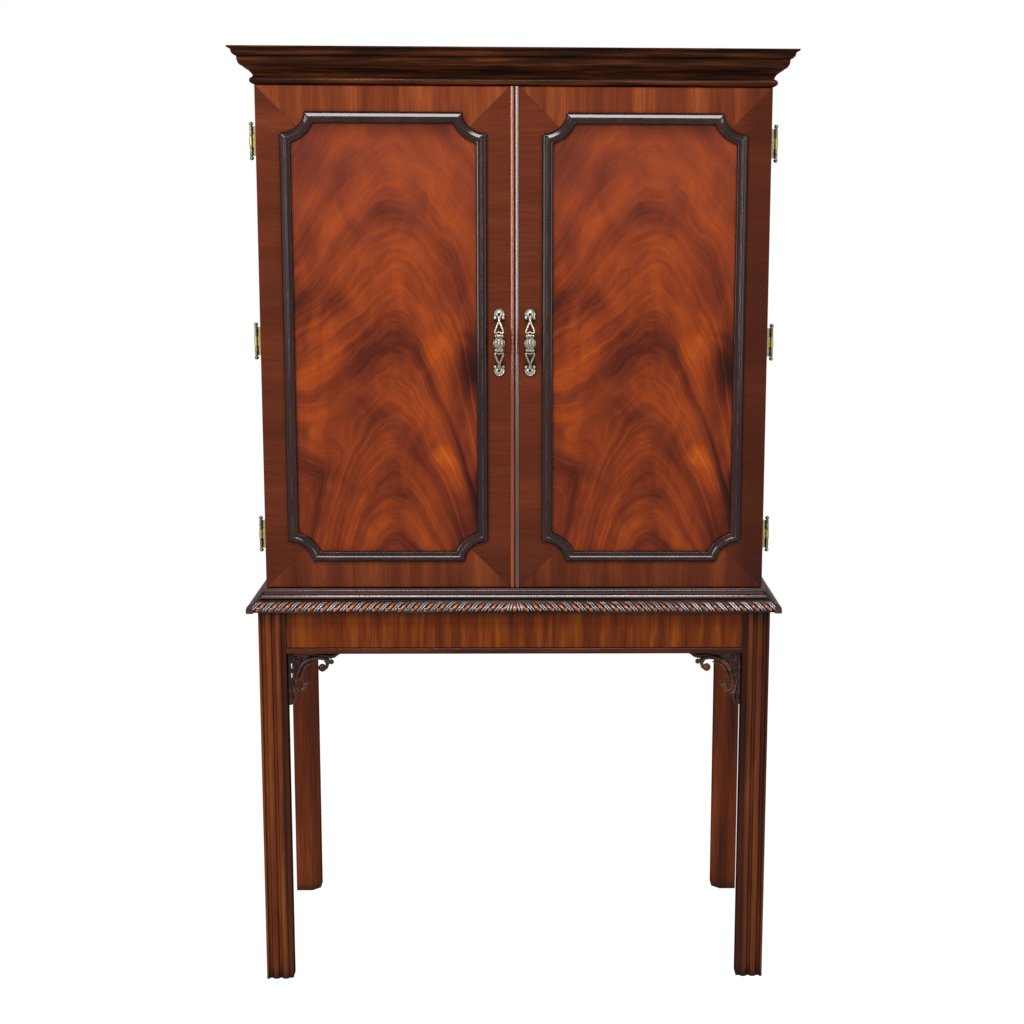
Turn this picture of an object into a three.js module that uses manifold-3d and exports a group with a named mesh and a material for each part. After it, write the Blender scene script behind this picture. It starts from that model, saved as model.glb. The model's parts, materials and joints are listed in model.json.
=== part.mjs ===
// Bar cabinet on a stand: a two-door case with a fold-out serving leaf inside, on four straight legs.
// Millimetres, +Z up, the doors face -Y. The origin is on the floor, under the middle of the whole cabinet.
import * as THREE from "three";
import { mergeVertices } from "three/addons/utils/BufferGeometryUtils.js";
import Module from "manifold-3d";

const wasm = await Module();
wasm.setup();

// Case and stand
const cabinetWidth = 1008; // across the case sides
const cabinetDepth = 530; // from the door fronts to the back of the back panel
const openingHeight = 996; // between the waist moulding and the cornice
const standMargin = 16; // the legs stand out this far at the front and sides
const standBackMargin = 5;
const legHeight = 789;
const standTopThickness = 23;
const waistHeight = 23;
const corniceHeight = 69;

// Legs
const legSection = 55;
const legInnerChamfer = 18;
const reedDepth = 5;
const cornerReedWidth = 11;
const mainReedStart = 13;
const mainReedWidth = 17;
const innerReedStart = 37;
const innerReedWidth = 15;
const reedSteps = 4;
const footBevelInset = 5;
const footBevelRise = 20;

// Aprons and brackets
const apronHeight = 90;
const apronThickness = 22;
const apronSetback = 8; // behind the faces of the legs
const apronBeadHeight = 12.5;
const apronBeadProud = 3.5;
const bracketWidth = 111;
const bracketDrop = 112;
const bracketThickness = 16;
const bracketSetback = 3; // behind the apron's face

// Carved edge of the stand top
const edgeOverhang = 21; // beyond the faces of the legs
const edgeLap = 5; // behind the faces of the legs
const edgeFootInset = 4;
const edgeShoulder = 8; // height of the widest line above the underside
const edgeTopFlat = 13; // how far the flat top stops short of the overhang
const edgeFillet = 2;

// Waist moulding
const waistLap = 12; // behind the face of the case
const waistGroove = 6.5; // projection of the groove
const waistBeadHeight = 12.5;
const waistBeadProud = 4;
const waistGrooveHeight = 3;
const waistStripProud = 2.5;
const waistStripRound = 2;

// Case boards
const sideThickness = 20;
const caseTopThickness = 22;
const backPanelThickness = 8;
const dividerThickness = 18;
const dustBoardThickness = 12;

// Cornice, from the bottom member to the top one
const corniceProjection = 45;
const corniceLap = 45; // behind the face of the case
const beadHeight = 14;
const beadProud = 8;
const coveFoot = 2; // projection where the large cove starts
const quirkHeight = 3;
const coveHeight = 13;
const coveReach = 15;
const filletHeight = 3;
const filletStep = 2;
const ovoloHeight = 16;
const ovoloReach = 9.5;
const upperOvoloHeight = 11;
const upperOvoloReach = 9.5;
const upperStep = 2;
const topCoveHeight = 4;
const topCoveReach = 6;

// Doors
const doorThickness = 22;
const doorClearance = 1.5; // above, below and behind a closed door
const doorSideInset = 0.5; // from the face of the case side
const meetingGap = 1.5; // between the two closed doors
const meetingBeadWidth = 8;
const meetingBeadProud = 3;
const frameInsetMeeting = 54; // from the meeting line to the frame moulding
const frameInsetHinge = 47; // from the face of the case side to the frame moulding
const frameInsetBottom = 53.5; // from the door's lower edge
const frameInsetTop = 49.5; // from the door's upper edge
const frameWidth = 21;
const frameCornerReach = 48; // width of a cut-in corner
const frameCornerDrop = 41; // height of a cut-in corner
const frameCornerSteps = 6;
const frameEdge = 2;
const frameBeadStart = 4.5;
const frameBeadBase = 6;
const frameBeadWidth = 7;
const frameBeadRise = 3;
const frameQuirk = 1;
const frameFlat = 2.5;
const frameInnerEdge = 1.5;
const panelThickness = 3;
const panelLap = 13; // width of the frame moulding that covers the panel

// Door hinges
const hingeEndOffset = 106; // from a door's end to the middle of its outer hinges
const hingePinOffset = 11; // outside the face of the case side
const hingeLength = 55;
const hingeReach = 28; // from the pin to the leaf's inner edge
const hingeLeafThickness = 2.2;
const hingeLeafGap = 0.3;
const knuckleRadius = 4.3;
const pinRadius = 1.8;
const pinClearance = 0.4;
const finialRadius = 5;
const finialNeck = 1; // how deep the ball sits on the knuckle
const hingeSides = 10;

// Pulls
const pullSpacing = 61.5; // between the middles of the two pulls
const pullHeight = 135;
const pullBossRadius = 11;
const pullBossHeight = 6;
const pullPlateThickness = 4;
const pullHeartWidth = 19;
const pullHeartRim = 3.5;
const pullNeckWidth = 7;
const pullGripRadius = 10.5;
const pullGripFlatness = 0.7; // the grip is shallower than it is wide
const pullGripHalf = 20;
const pullStandOff = 17; // from the door's face to the middle of the grip
const pullSides = 10;

// Bar deck, in the left bay, with the fold-out leaf and its pull-out supports
const deckRise = 345; // from the foot of the door opening to the top of the deck
const deckThickness = 52;
const deckSetback = 12; // behind the front edge of the case
const leafThickness = 18;
const leafDepth = 300;
const leafSideGap = 1.5;
const leafGap = 0.5; // between the folded leaf and the deck
const leafPinReach = 2.5; // from the deck's front edge to the leaf's pin
const leafKnuckleRadius = 2.2;
const leafPlateThickness = 1.2;
const leafPlateHeight = 12;
const leafPinRadius = 0.9;
const leafHingeInset = 16; // from the leaf's ends
const leafKnuckles = 5;
const leafKnuckleSides = 8;
const loperWidth = 20;
const loperHeight = 26;
const loperLength = 330;
const loperInsetOuter = 75; // from the case side to the middle of the outer support
const loperInsetInner = 60; // from the divider to the middle of the inner support
const loperDrop = 0.5; // below the leaf's underside when it is folded out
const knobRadius = 6;
const knobLength = 9;
const knobSides = 10;

// Shelves, mirror and racks
const glassShelfRise = 330; // from the deck's top to the glass shelf
const glassThickness = 8;
const glassSetback = 30;
const glassEdgeGap = 1;
const cleatWidth = 10;
const cleatHeight = 12;
const cleatSetback = 34;
const mirrorThickness = 5;
const mirrorMargin = 10;
const shelfThickness = 20;
const stemBoardThickness = 12;
const stemWebHeight = 22;
const stemWebWidth = 10;
const stemFlangeThickness = 7;
const stemGap = 30; // between two flanges, where a stem hangs
const stemLanes = 4;
const stemSetback = 20;
const rackColumns = 4;
const rackRows = 2;
const rackWall = 10;
const rackDepth = 320;

// Fits
const fitGap = 0.3; // round a piece that is let in, or that turns or slides
const cutOverrun = 5;
const mergeStep = 1e-4;
const roundSteps = 4;

// Heights and planes that follow
const halfCabinet = cabinetWidth / 2;
const halfStand = halfCabinet + standMargin;
const standDepth = standMargin + cabinetDepth + standBackMargin;
const overallDepth = corniceProjection - standMargin + standDepth;
const cabinetFront = -overallDepth / 2 + corniceProjection;
const standFront = cabinetFront - standMargin;
const standBack = standFront + standDepth;
const cabinetBack = cabinetFront + cabinetDepth;
const innerBack = cabinetBack - backPanelThickness;
const caseBase = legHeight + standTopThickness;
const openingBase = caseBase + waistHeight;
const openingTop = openingBase + openingHeight;
const cabinetTop = openingTop + corniceHeight;
const ceiling = openingTop - caseTopThickness;
const doorBack = cabinetFront + doorThickness;
const caseFront = doorBack + doorClearance;
const innerSide = halfCabinet - sideThickness;
const halfDivider = dividerThickness / 2;
const apronBase = legHeight - apronHeight;
const doorBase = openingBase + doorClearance;
const doorTop = openingTop - doorClearance;
const doorMiddle = (doorBase + doorTop) / 2;
const pinX = halfCabinet + hingePinOffset;
const pinY = (doorBack + caseFront) / 2;
const deckTop = openingBase + deckRise;
const deckFront = caseFront + deckSetback;

const finish = {
  flame: new THREE.MeshStandardMaterial({ color: 0x8f3d18, roughness: 0.28 }),
  crossband: new THREE.MeshStandardMaterial({ color: 0x5e2814, roughness: 0.3 }),
  moulding: new THREE.MeshStandardMaterial({ color: 0x2e1610, roughness: 0.3 }),
  apron: new THREE.MeshStandardMaterial({ color: 0x6e3208, roughness: 0.32 }),
  leg: new THREE.MeshStandardMaterial({ color: 0x56260f, roughness: 0.34 }),
  interior: new THREE.MeshStandardMaterial({ color: 0x6b3418, roughness: 0.45 }),
  backing: new THREE.MeshStandardMaterial({ color: 0x7a5a3c, roughness: 0.7 }),
  brass: new THREE.MeshStandardMaterial({ color: 0xa59a7c, roughness: 0.35, metalness: 1 }),
  glass: new THREE.MeshStandardMaterial({
    color: 0xdfeee8,
    roughness: 0.05,
    transparent: true,
    opacity: 0.35,
  }),
  mirror: new THREE.MeshStandardMaterial({ color: 0xe4e8ea, roughness: 0.03, metalness: 1 }),
};

// Helpers for closed meshes

// A closed mesh from points and corner triples, turned to face outwards
function closedMesh(points, triangles) {
  const [a, b, c] = [new THREE.Vector3(), new THREE.Vector3(), new THREE.Vector3()];
  let volume = 0;
  for (const [i, j, k] of triangles) {
    volume += a.fromArray(points[i]).dot(b.fromArray(points[j]).cross(c.fromArray(points[k])));
  }
  const facing = volume < 0 ? triangles.map(([i, j, k]) => [i, k, j]) : triangles;
  const geometry = new THREE.BufferGeometry();
  geometry.setAttribute("position", new THREE.Float32BufferAttribute(points.flat(), 3));
  geometry.setIndex(facing.flat());
  geometry.computeVertexNormals();
  return geometry;
}

// A solid run of one flat section: start and end say where a section point goes
function run(section, start, end) {
  const flat = section.map(([p, q]) => new THREE.Vector2(p, q));
  const ring = THREE.ShapeUtils.isClockWise(flat) ? flat.reverse() : flat;
  const count = ring.length;
  const points = [...ring.map((v) => start([v.x, v.y])), ...ring.map((v) => end([v.x, v.y]))];
  const triangles = [];
  for (const [i, j, k] of THREE.ShapeUtils.triangulateShape(ring, [])) {
    triangles.push([k, j, i], [count + i, count + j, count + k]);
  }
  ring.forEach((_, here) => {
    const next = (here + 1) % count;
    triangles.push([here, next, count + next], [here, count + next, count + here]);
  });
  return closedMesh(points, triangles);
}

// A block between two limits on each axis
function block([x0, x1], [y0, y1], [z0, z1]) {
  const corners = [[x0, y0], [x1, y0], [x1, y1], [x0, y1]];
  return run(corners, ([x, y]) => [x, y, z0], ([x, y]) => [x, y, z1]);
}

function solidOf(geometry) {
  const bare = geometry.clone();
  bare.deleteAttribute("normal");
  bare.deleteAttribute("uv");
  const merged = mergeVertices(bare, mergeStep);
  return new wasm.Manifold(
    new wasm.Mesh({
      numProp: 3,
      vertProperties: merged.attributes.position.array,
      triVerts: new Uint32Array(merged.index.array),
    }),
  );
}

function geometryOf(solid) {
  const mesh = solid.getMesh();
  const geometry = new THREE.BufferGeometry();
  geometry.setAttribute("position", new THREE.Float32BufferAttribute(mesh.vertProperties, mesh.numProp));
  geometry.setIndex([...mesh.triVerts]);
  geometry.computeVertexNormals();
  return geometry;
}

function joined(first, ...others) {
  return geometryOf(others.reduce((solid, other) => solid.add(solidOf(other)), solidOf(first)));
}

function cutFrom(first, ...tools) {
  return geometryOf(tools.reduce((solid, tool) => solid.subtract(solidOf(tool)), solidOf(first)));
}

// Helpers for moulding sections

// A quarter ellipse after the first point, which leaves it level or upright
function quarter([p0, q0], [p1, q1], leavesLevel, steps = roundSteps) {
  return Array.from({ length: steps }, (_, index) => {
    const angle = ((index + 1) / steps) * (Math.PI / 2);
    const [fast, slow] = [Math.sin(angle), 1 - Math.cos(angle)];
    const [across, up] = leavesLevel ? [fast, slow] : [slow, fast];
    return [p0 + (p1 - p0) * across, q0 + (q1 - q0) * up];
  });
}

// A half ellipse after the first point, which swells outwards by the given amount
function swelling([p, q0], q1, proud, steps = 2 * roundSteps) {
  return Array.from({ length: steps }, (_, index) => {
    const angle = ((index + 1) / steps) * Math.PI;
    return [p + proud * Math.sin(angle), q0 + ((q1 - q0) * (1 - Math.cos(angle))) / 2];
  });
}

// A moulding on three sides: a mitred front run and a run on each side. p is how far a point stands out.
function mouldingRuns(section, half, front, back) {
  const corner = (side) => ([p, z]) => [side * (half + p), front - p, z];
  const rear = (side) => ([p, z]) => [side * (half + p), back, z];
  return {
    front: run(section, corner(-1), corner(1)),
    left: run(section, corner(-1), rear(-1)),
    right: run(section, corner(1), rear(1)),
  };
}

function mesh(name, geometry, material, position = [0, 0, 0], mirrored = false) {
  const piece = new THREE.Mesh(geometry, material);
  piece.name = name;
  piece.position.set(...position);
  piece.scale.x = mirrored ? -1 : 1;
  return piece;
}

function group(...pieces) {
  const made = new THREE.Group();
  made.add(...pieces.flat());
  return made;
}

const sides = [
  { name: "left", sign: -1 },
  { name: "right", sign: 1 },
];

// Stand

// The flat reeds on one face of a moulded leg, from its corner inwards, with a groove before each
function reededFace() {
  const reed = (start, width) => [
    [start, reedDepth],
    ...swelling([0, start], start + width, reedDepth, reedSteps).map(([rise, u]) => [u, reedDepth - rise]),
  ];
  return [...reed(mainReedStart, mainReedWidth), ...reed(innerReedStart, innerReedWidth)];
}

// The section of a leg, measured inwards from its outer corner
function legOutline(moulded) {
  const inner = [
    [legSection, 0],
    [legSection, legSection - legInnerChamfer],
    [legSection - legInnerChamfer, legSection],
    [0, legSection],
  ];
  if (!moulded) {
    return [[0, 0], ...inner];
  }
  const crown = [reedDepth, 0];
  const cornerReed = [crown, ...quarter(crown, [cornerReedWidth, reedDepth], true, reedSteps)];
  const face = [...cornerReed, ...reededFace()];
  const sideFace = face.map(([along, depth]) => [depth, along]).reverse();
  return [...face, ...inner, ...sideFace];
}

// A leg with the two inner edges of its foot bevelled
function leg(outline, sideSign, outerY, inward) {
  const x = (u) => sideSign * (halfStand - u);
  const y = (v) => outerY + inward * v;
  const post = run(outline, ([u, v]) => [x(u), y(v), 0], ([u, v]) => [x(u), y(v), legHeight]);
  const wedge = [
    [legSection - footBevelInset, 0],
    [legSection - footBevelInset * (1 + cutOverrun / footBevelRise), -cutOverrun],
    [legSection + cutOverrun, -cutOverrun],
    [legSection + cutOverrun, footBevelRise],
    [legSection, footBevelRise],
  ];
  const [near, far] = [-cutOverrun, legSection + cutOverrun];
  return cutFrom(
    post,
    run(wedge, ([u, z]) => [x(u), y(near), z], ([u, z]) => [x(u), y(far), z]),
    run(wedge, ([v, z]) => [x(near), y(v), z], ([v, z]) => [x(far), y(v), z]),
  );
}

// The section of an apron: depth is measured inwards from its face
function apronSection(beaded) {
  const bead = swelling([0, apronBase], apronBase + apronBeadHeight, apronBeadProud).map(([p, z]) => [-p, z]);
  const back = [[0, legHeight], [apronThickness, legHeight], [apronThickness, apronBase]];
  return [[0, apronBase], ...(beaded ? bead : []), ...back];
}

function aprons() {
  const inner = halfStand - legSection;
  const beaded = apronSection(true);
  const plain = apronSection(false);
  const frontFace = standFront + apronSetback;
  const backFace = standBack - apronSetback;
  const sideFace = halfStand - apronSetback;
  const [near, far] = [standFront + legSection, standBack - legSection];
  const sideRun = (sign) =>
    run(beaded, ([d, z]) => [sign * (sideFace - d), near, z], ([d, z]) => [sign * (sideFace - d), far, z]);
  return [
    mesh(
      "front_apron",
      run(beaded, ([d, z]) => [-inner, frontFace + d, z], ([d, z]) => [inner, frontFace + d, z]),
      finish.apron,
    ),
    mesh(
      "back_apron",
      run(plain, ([d, z]) => [-inner, backFace - d, z], ([d, z]) => [inner, backFace - d, z]),
      finish.apron,
    ),
    ...sides.map(({ name, sign }) => mesh(`${name}_apron`, sideRun(sign), finish.apron)),
  ];
}

// A circle's arc as shares of the bracket's width and drop
function scrollArc([cx, cy], radius, from, to, steps) {
  return Array.from({ length: steps + 1 }, (_, index) => {
    const angle = THREE.MathUtils.degToRad(from + ((to - from) * index) / steps);
    return [cx + radius * Math.cos(angle), cy + radius * Math.sin(angle)];
  });
}

// The outline of the pierced bracket, across from the leg and down from the apron
const bracketShares = [
  [0, 0],
  [1, 0],
  [0.9, 0.07],
  [0.83, 0.1],
  ...scrollArc([0.755, 0.16], 0.055, -20, 120, 3),
  ...scrollArc([0.61, 0.26], 0.075, 0, 230, 4),
  [0.46, 0.165],
  [0.35, 0.185],
  [0.25, 0.27],
  [0.175, 0.39],
  [0.155, 0.5],
  [0.175, 0.6],
  ...scrollArc([0.27, 0.575], 0.06, 190, 420, 4),
  [0.33, 0.68],
  [0.26, 0.74],
  [0.14, 0.78],
  [0.13, 0.86],
  [0.08, 0.94],
  [0, 1],
];
const bracketHoleShares = [
  [[0.04, 0.18], [0.09, 0.17], [0.1, 0.3], [0.05, 0.32]],
  [[0.03, 0.4], [0.07, 0.4], [0.07, 0.5], [0.03, 0.5]],
  [[0.1, 0.035], [0.2, 0.03], [0.19, 0.07], [0.12, 0.08]],
  [[0.25, 0.04], [0.35, 0.03], [0.32, 0.08], [0.26, 0.1]],
  [[0.4, 0.045], [0.46, 0.04], [0.45, 0.075], [0.41, 0.08]],
];

function bracket(sign) {
  const face = standFront + apronSetback + bracketSetback;
  const sized = (shares) => shares.map(([u, v]) => [u * bracketWidth, v * bracketDrop]);
  const at = (y) => ([u, v]) => [sign * (halfStand - legSection - u), y, apronBase - v];
  const back = face + bracketThickness;
  const [near, far] = [at(face - cutOverrun), at(back + cutOverrun)];
  const holes = bracketHoleShares.map((hole) => run(sized(hole), near, far));
  return cutFrom(run(sized(bracketShares), at(face), at(back)), ...holes);
}

function edgeSection() {
  const foot = [edgeOverhang - edgeFootInset, legHeight];
  const widest = [edgeOverhang, legHeight + edgeShoulder];
  const crown = [edgeOverhang - edgeTopFlat, caseBase - edgeFillet];
  return [
    [-edgeLap, legHeight],
    foot,
    ...quarter(foot, widest, true),
    ...quarter(widest, crown, false),
    [crown[0], caseBase],
    [-edgeLap, caseBase],
  ];
}

function stand() {
  const legs = sides.flatMap(({ name, sign }) => [
    mesh(`${name}_front_leg`, leg(legOutline(true), sign, standFront, 1), finish.leg),
    mesh(`${name}_back_leg`, leg(legOutline(false), sign, standBack, -1), finish.leg),
  ]);
  const brackets = sides.map(({ name, sign }) => mesh(`${name}_bracket`, bracket(sign), finish.moulding));
  const edge = mouldingRuns(edgeSection(), halfStand, standFront, standBack);
  const inner = halfStand - edgeLap;
  const top = block([-inner, inner], [standFront + edgeLap, standBack], [legHeight, caseBase]);
  return group(
    legs,
    aprons(),
    brackets,
    mesh("stand_top", top, finish.leg),
    Object.entries(edge).map(([place, geometry]) => mesh(`${place}_gadroon_edge`, geometry, finish.moulding)),
  );
}

// Case

function waistSection() {
  const grooveBase = caseBase + waistBeadHeight;
  const stripBase = grooveBase + waistGrooveHeight;
  const stripFace = waistGroove + waistStripProud;
  const stripShoulder = [stripFace, openingBase - waistStripRound];
  return [
    [-waistLap, caseBase],
    [waistGroove, caseBase],
    ...swelling([waistGroove, caseBase], grooveBase, waistBeadProud),
    [waistGroove, stripBase],
    [stripFace, stripBase],
    stripShoulder,
    ...quarter(stripShoulder, [stripFace - waistStripRound, openingBase], false),
    [-waistLap, openingBase],
  ];
}

// A point of the cornice is worked out from the one before it, member by member
function corniceSection() {
  const section = [[-corniceLap, openingTop], [0, openingTop]];
  const last = () => section[section.length - 1];
  const beadTop = openingTop + beadHeight;
  section.push(...swelling(last(), beadTop, beadProud));
  section.push([coveFoot, beadTop], [coveFoot, beadTop + quirkHeight]);
  section.push(...quarter(last(), [last()[0] + coveReach, last()[1] + coveHeight], false));
  section.push([last()[0], last()[1] + filletHeight]);
  section.push([last()[0] + filletStep, last()[1]]);
  section.push(...quarter(last(), [last()[0] + ovoloReach, last()[1] + ovoloHeight], true));
  section.push([last()[0], last()[1] + upperStep]);
  section.push(...quarter(last(), [last()[0] + upperOvoloReach, last()[1] + upperOvoloHeight], true));
  section.push(...quarter(last(), [last()[0] + topCoveReach, last()[1] + topCoveHeight], false));
  section.push([corniceProjection, last()[1]]);
  section.push([corniceProjection, cabinetTop], [-corniceLap, cabinetTop]);
  return section;
}

function hingeHeights() {
  return [doorBase + hingeEndOffset, doorMiddle, doorTop - hingeEndOffset];
}

// Room for the hinge leaves in a board's face, with the fit gap all round
function hingeMortises(sign, depthRange) {
  const [near, far] = [sign * (pinX - hingeReach - fitGap), sign * (halfCabinet + cutOverrun)];
  const half = hingeLength / 2 + fitGap;
  return hingeHeights().map((z) => block([near, far], depthRange, [z - half, z + half]));
}

function glassShelfBase() {
  return deckTop + glassShelfRise;
}

// The strip under an end of the glass shelf, let into the board whose face is at x
function cleat(x, direction) {
  const base = glassShelfBase();
  return block(
    [x - direction * cutOverrun, x + direction * cleatWidth],
    [caseFront + cleatSetback, innerBack],
    [base - cleatHeight, base],
  );
}

function caseSide(sign) {
  const across = [sign * innerSide, sign * halfCabinet];
  const board = block(across, [caseFront, innerBack], [openingBase, openingTop]);
  const leafBack = pinY + hingeLeafGap / 2 + hingeLeafThickness + fitGap;
  const cutBoard = cutFrom(board, ...hingeMortises(sign, [caseFront - cutOverrun, leafBack]));
  return sign < 0 ? joined(cutBoard, cleat(-innerSide, 1)) : cutBoard;
}

function caseGroup() {
  const waist = mouldingRuns(waistSection(), halfCabinet, cabinetFront, innerBack);
  const cornice = mouldingRuns(corniceSection(), halfCabinet, cabinetFront, innerBack);
  const innerWaist = halfCabinet - waistLap;
  const innerCornice = halfCabinet - corniceLap;
  const bottom = block(
    [-innerWaist, innerWaist],
    [cabinetFront + waistLap, innerBack],
    [caseBase, openingBase],
  );
  const top = block([-innerSide, innerSide], [caseFront, innerBack], [ceiling, openingTop]);
  const back = block([-halfCabinet, halfCabinet], [innerBack, cabinetBack], [caseBase, cabinetTop]);
  const dividerBoard = block([-halfDivider, halfDivider], [caseFront, innerBack], [openingBase, ceiling]);
  const dust = block(
    [-innerCornice, innerCornice],
    [cabinetFront + corniceLap, innerBack],
    [cabinetTop - dustBoardThickness, cabinetTop],
  );
  return group(
    Object.entries(waist).map(([place, geometry]) =>
      mesh(`${place}_waist_moulding`, geometry, finish.moulding),
    ),
    Object.entries(cornice).map(([place, geometry]) => mesh(`${place}_cornice`, geometry, finish.moulding)),
    sides.map(({ name, sign }) => mesh(`case_${name}_side`, caseSide(sign), finish.crossband)),
    mesh("case_bottom", bottom, finish.interior),
    mesh("case_top", top, finish.interior),
    mesh("case_divider", joined(dividerBoard, cleat(-halfDivider, -1)), finish.interior),
    mesh("back_panel", back, finish.backing),
    mesh("top_board", dust, finish.backing),
  );
}

// Doors: the right one is made, and the left one is its mirror image

// The outline of the door's frame moulding, moved inwards by an offset: its corners are cut in
function frameOutline(offset) {
  const [x0, x1] = [frameInsetMeeting + offset, halfCabinet - frameInsetHinge - offset];
  const [z0, z1] = [doorBase + frameInsetBottom + offset, doorTop - frameInsetTop - offset];
  const reach = frameCornerReach + offset;
  const drop = frameCornerDrop + offset;
  const [first, last] = [Math.asin(offset / reach), Math.acos(offset / drop)];
  const arc = Array.from({ length: frameCornerSteps + 1 }, (_, index) => {
    const angle = first + ((last - first) * index) / frameCornerSteps;
    return [reach * Math.sin(angle) - offset, drop * Math.cos(angle) - offset];
  });
  const back = [...arc].reverse();
  return [
    ...arc.map(([u, v]) => [x0 + u, z0 + v]),
    ...back.map(([u, v]) => [x1 - u, z0 + v]),
    ...arc.map(([u, v]) => [x1 - u, z1 - v]),
    ...back.map(([u, v]) => [x0 + u, z1 - v]),
  ];
}

// The section of the frame moulding: inwards from its outer edge, and how proud it stands
function frameSection() {
  const beadEnd = frameBeadStart + frameBeadWidth;
  const flatEnd = beadEnd + frameFlat;
  const bead = swelling([0, frameBeadStart], beadEnd, frameBeadRise, roundSteps);
  return [
    [0, 0],
    [0, frameEdge],
    [frameBeadStart, frameBeadBase],
    ...bead.map(([rise, along]) => [along, frameBeadBase + rise]),
    [beadEnd, frameBeadBase - frameQuirk],
    [flatEnd, frameBeadBase - frameQuirk],
    ...quarter([flatEnd, frameBeadBase - frameQuirk], [frameWidth, frameInnerEdge], true, roundSteps / 2),
    [frameWidth, 0],
  ];
}

function frameMoulding() {
  const section = frameSection();
  const rings = section.map(([inward, proud]) =>
    frameOutline(inward).map(([x, z]) => [x, cabinetFront - proud, z]),
  );
  const length = rings[0].length;
  const at = (row, step) => (row % rings.length) * length + (step % length);
  const triangles = rings.flatMap((ring, row) =>
    ring.flatMap((_, step) => [
      [at(row, step), at(row, step + 1), at(row + 1, step + 1)],
      [at(row, step), at(row + 1, step + 1), at(row + 1, step)],
    ]),
  );
  return closedMesh(rings.flat(), triangles);
}

function doorPanel(offset, front, back) {
  return run(frameOutline(offset), ([x, z]) => [x, front, z], ([x, z]) => [x, back, z]);
}

function doorSlab() {
  const panelOffset = frameWidth - panelLap;
  const board = block(
    [meetingGap / 2 + meetingBeadWidth, halfCabinet - doorSideInset],
    [cabinetFront, doorBack],
    [doorBase, doorTop],
  );
  const recess = doorPanel(
    panelOffset - fitGap,
    cabinetFront - cutOverrun,
    cabinetFront + panelThickness + fitGap,
  );
  const leafFront = pinY - hingeLeafGap / 2 - hingeLeafThickness - fitGap;
  return cutFrom(board, recess, ...hingeMortises(1, [leafFront, doorBack + cutOverrun]));
}

function meetingBead() {
  const [near, far] = [meetingGap / 2, meetingGap / 2 + meetingBeadWidth];
  const face = swelling([0, near], far, meetingBeadProud).map(([rise, x]) => [x, cabinetFront - rise]);
  const section = [[near, cabinetFront], ...face, [far, doorBack], [near, doorBack]];
  return run(section, ([x, y]) => [x, y, doorBase], ([x, y]) => [x, y, doorTop]);
}

// Half of the open heart of a pull, from its point at the neck to its notch at the grip
const heartShares = [[0, 1], [0.3, 0.72], [0.5, 0.28], [0.44, 0.04], [0.2, 0]];

// The profile of a pull's boss and of its leafy grip: shares of the radius and of the length
const bossShares = [[0, 0], [1, 0], [1, 0.5], [0.5, 1], [0, 1]];
const gripHalfShares = [[1, 0.25], [0.6, 0.65], [0.8, 0.85], [0.6, 1], [0, 1]];

function heartOutline(width, length, rim) {
  const half = heartShares.map(([u, v]) => [
    u * (width - 2 * rim),
    rim + v * (length - 2 * rim),
  ]);
  return [...half, ...half.slice(1).reverse().map(([u, v]) => [-u, v])];
}

// A pull, round its own middle: x across, z up, the door's face at y = 0
function pull() {
  const bossMiddle = pullHeight / 2 - pullBossRadius;
  const heartStart = pullGripHalf - pullHeartRim;
  const heartEnd = bossMiddle - pullBossRadius / 2;
  const gripShares = [...gripHalfShares.map(([r, h]) => [r, -h]).reverse(), ...gripHalfShares];
  const lathed = (shares, radius, length) =>
    new THREE.LatheGeometry(shares.map(([r, h]) => new THREE.Vector2(r * radius, h * length)), pullSides);
  const grip = lathed(gripShares, pullGripRadius, pullGripHalf)
    .rotateX(Math.PI / 2)
    .scale(1, pullGripFlatness, 1)
    .translate(0, -pullStandOff, 0);
  const heartLength = Math.hypot(heartEnd - heartStart, pullStandOff - pullBossHeight);
  const lean = Math.atan2(pullStandOff - pullBossHeight, heartEnd - heartStart);
  const pieces = [1, -1].flatMap((end) => {
    const boss = lathed(bossShares, pullBossRadius, pullBossHeight)
      .rotateX(Math.PI)
      .translate(0, 0, end * bossMiddle);
    const place = (geometry) =>
      geometry.rotateX(-end * lean).translate(0, -pullStandOff, end * heartStart);
    const outer = heartOutline(pullHeartWidth, heartLength, 0);
    const inner = heartOutline(pullHeartWidth, heartLength, pullHeartRim);
    const half = pullPlateThickness / 2;
    const layer = (y) => ([u, v]) => [u, y, end * v];
    const opening = run(inner, layer(-half - cutOverrun), layer(half + cutOverrun));
    const heart = place(cutFrom(run(outer, layer(-half), layer(half)), opening));
    const neckHalf = pullNeckWidth / 2;
    const neck = place(
      block(
        [-neckHalf, neckHalf],
        [-half, half],
        [end * (heartLength - pullHeartRim), end * (heartLength + pullHeartRim)].sort((a, b) => a - b),
      ),
    );
    return [boss, heart, neck];
  });
  return joined(grip, ...pieces);
}

// A hinge, round the middle of its pin: x towards the middle of the cabinet, y backwards
function hingeCylinder(radius, z0, z1) {
  const cylinder = new THREE.CylinderGeometry(radius, radius, z1 - z0, hingeSides);
  return cylinder.rotateX(Math.PI / 2).translate(0, 0, (z0 + z1) / 2);
}

function hingePlate(face, direction, tabs) {
  const yRange = [face, face + direction * hingeLeafThickness];
  const plateStart = knuckleRadius + 2 * fitGap;
  const half = hingeLength / 2;
  const plate = block([plateStart, hingeReach], yRange, [-half, half]);
  return joined(plate, ...tabs.map((zRange) => block([0, plateStart + fitGap], yRange, zRange)));
}

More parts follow.
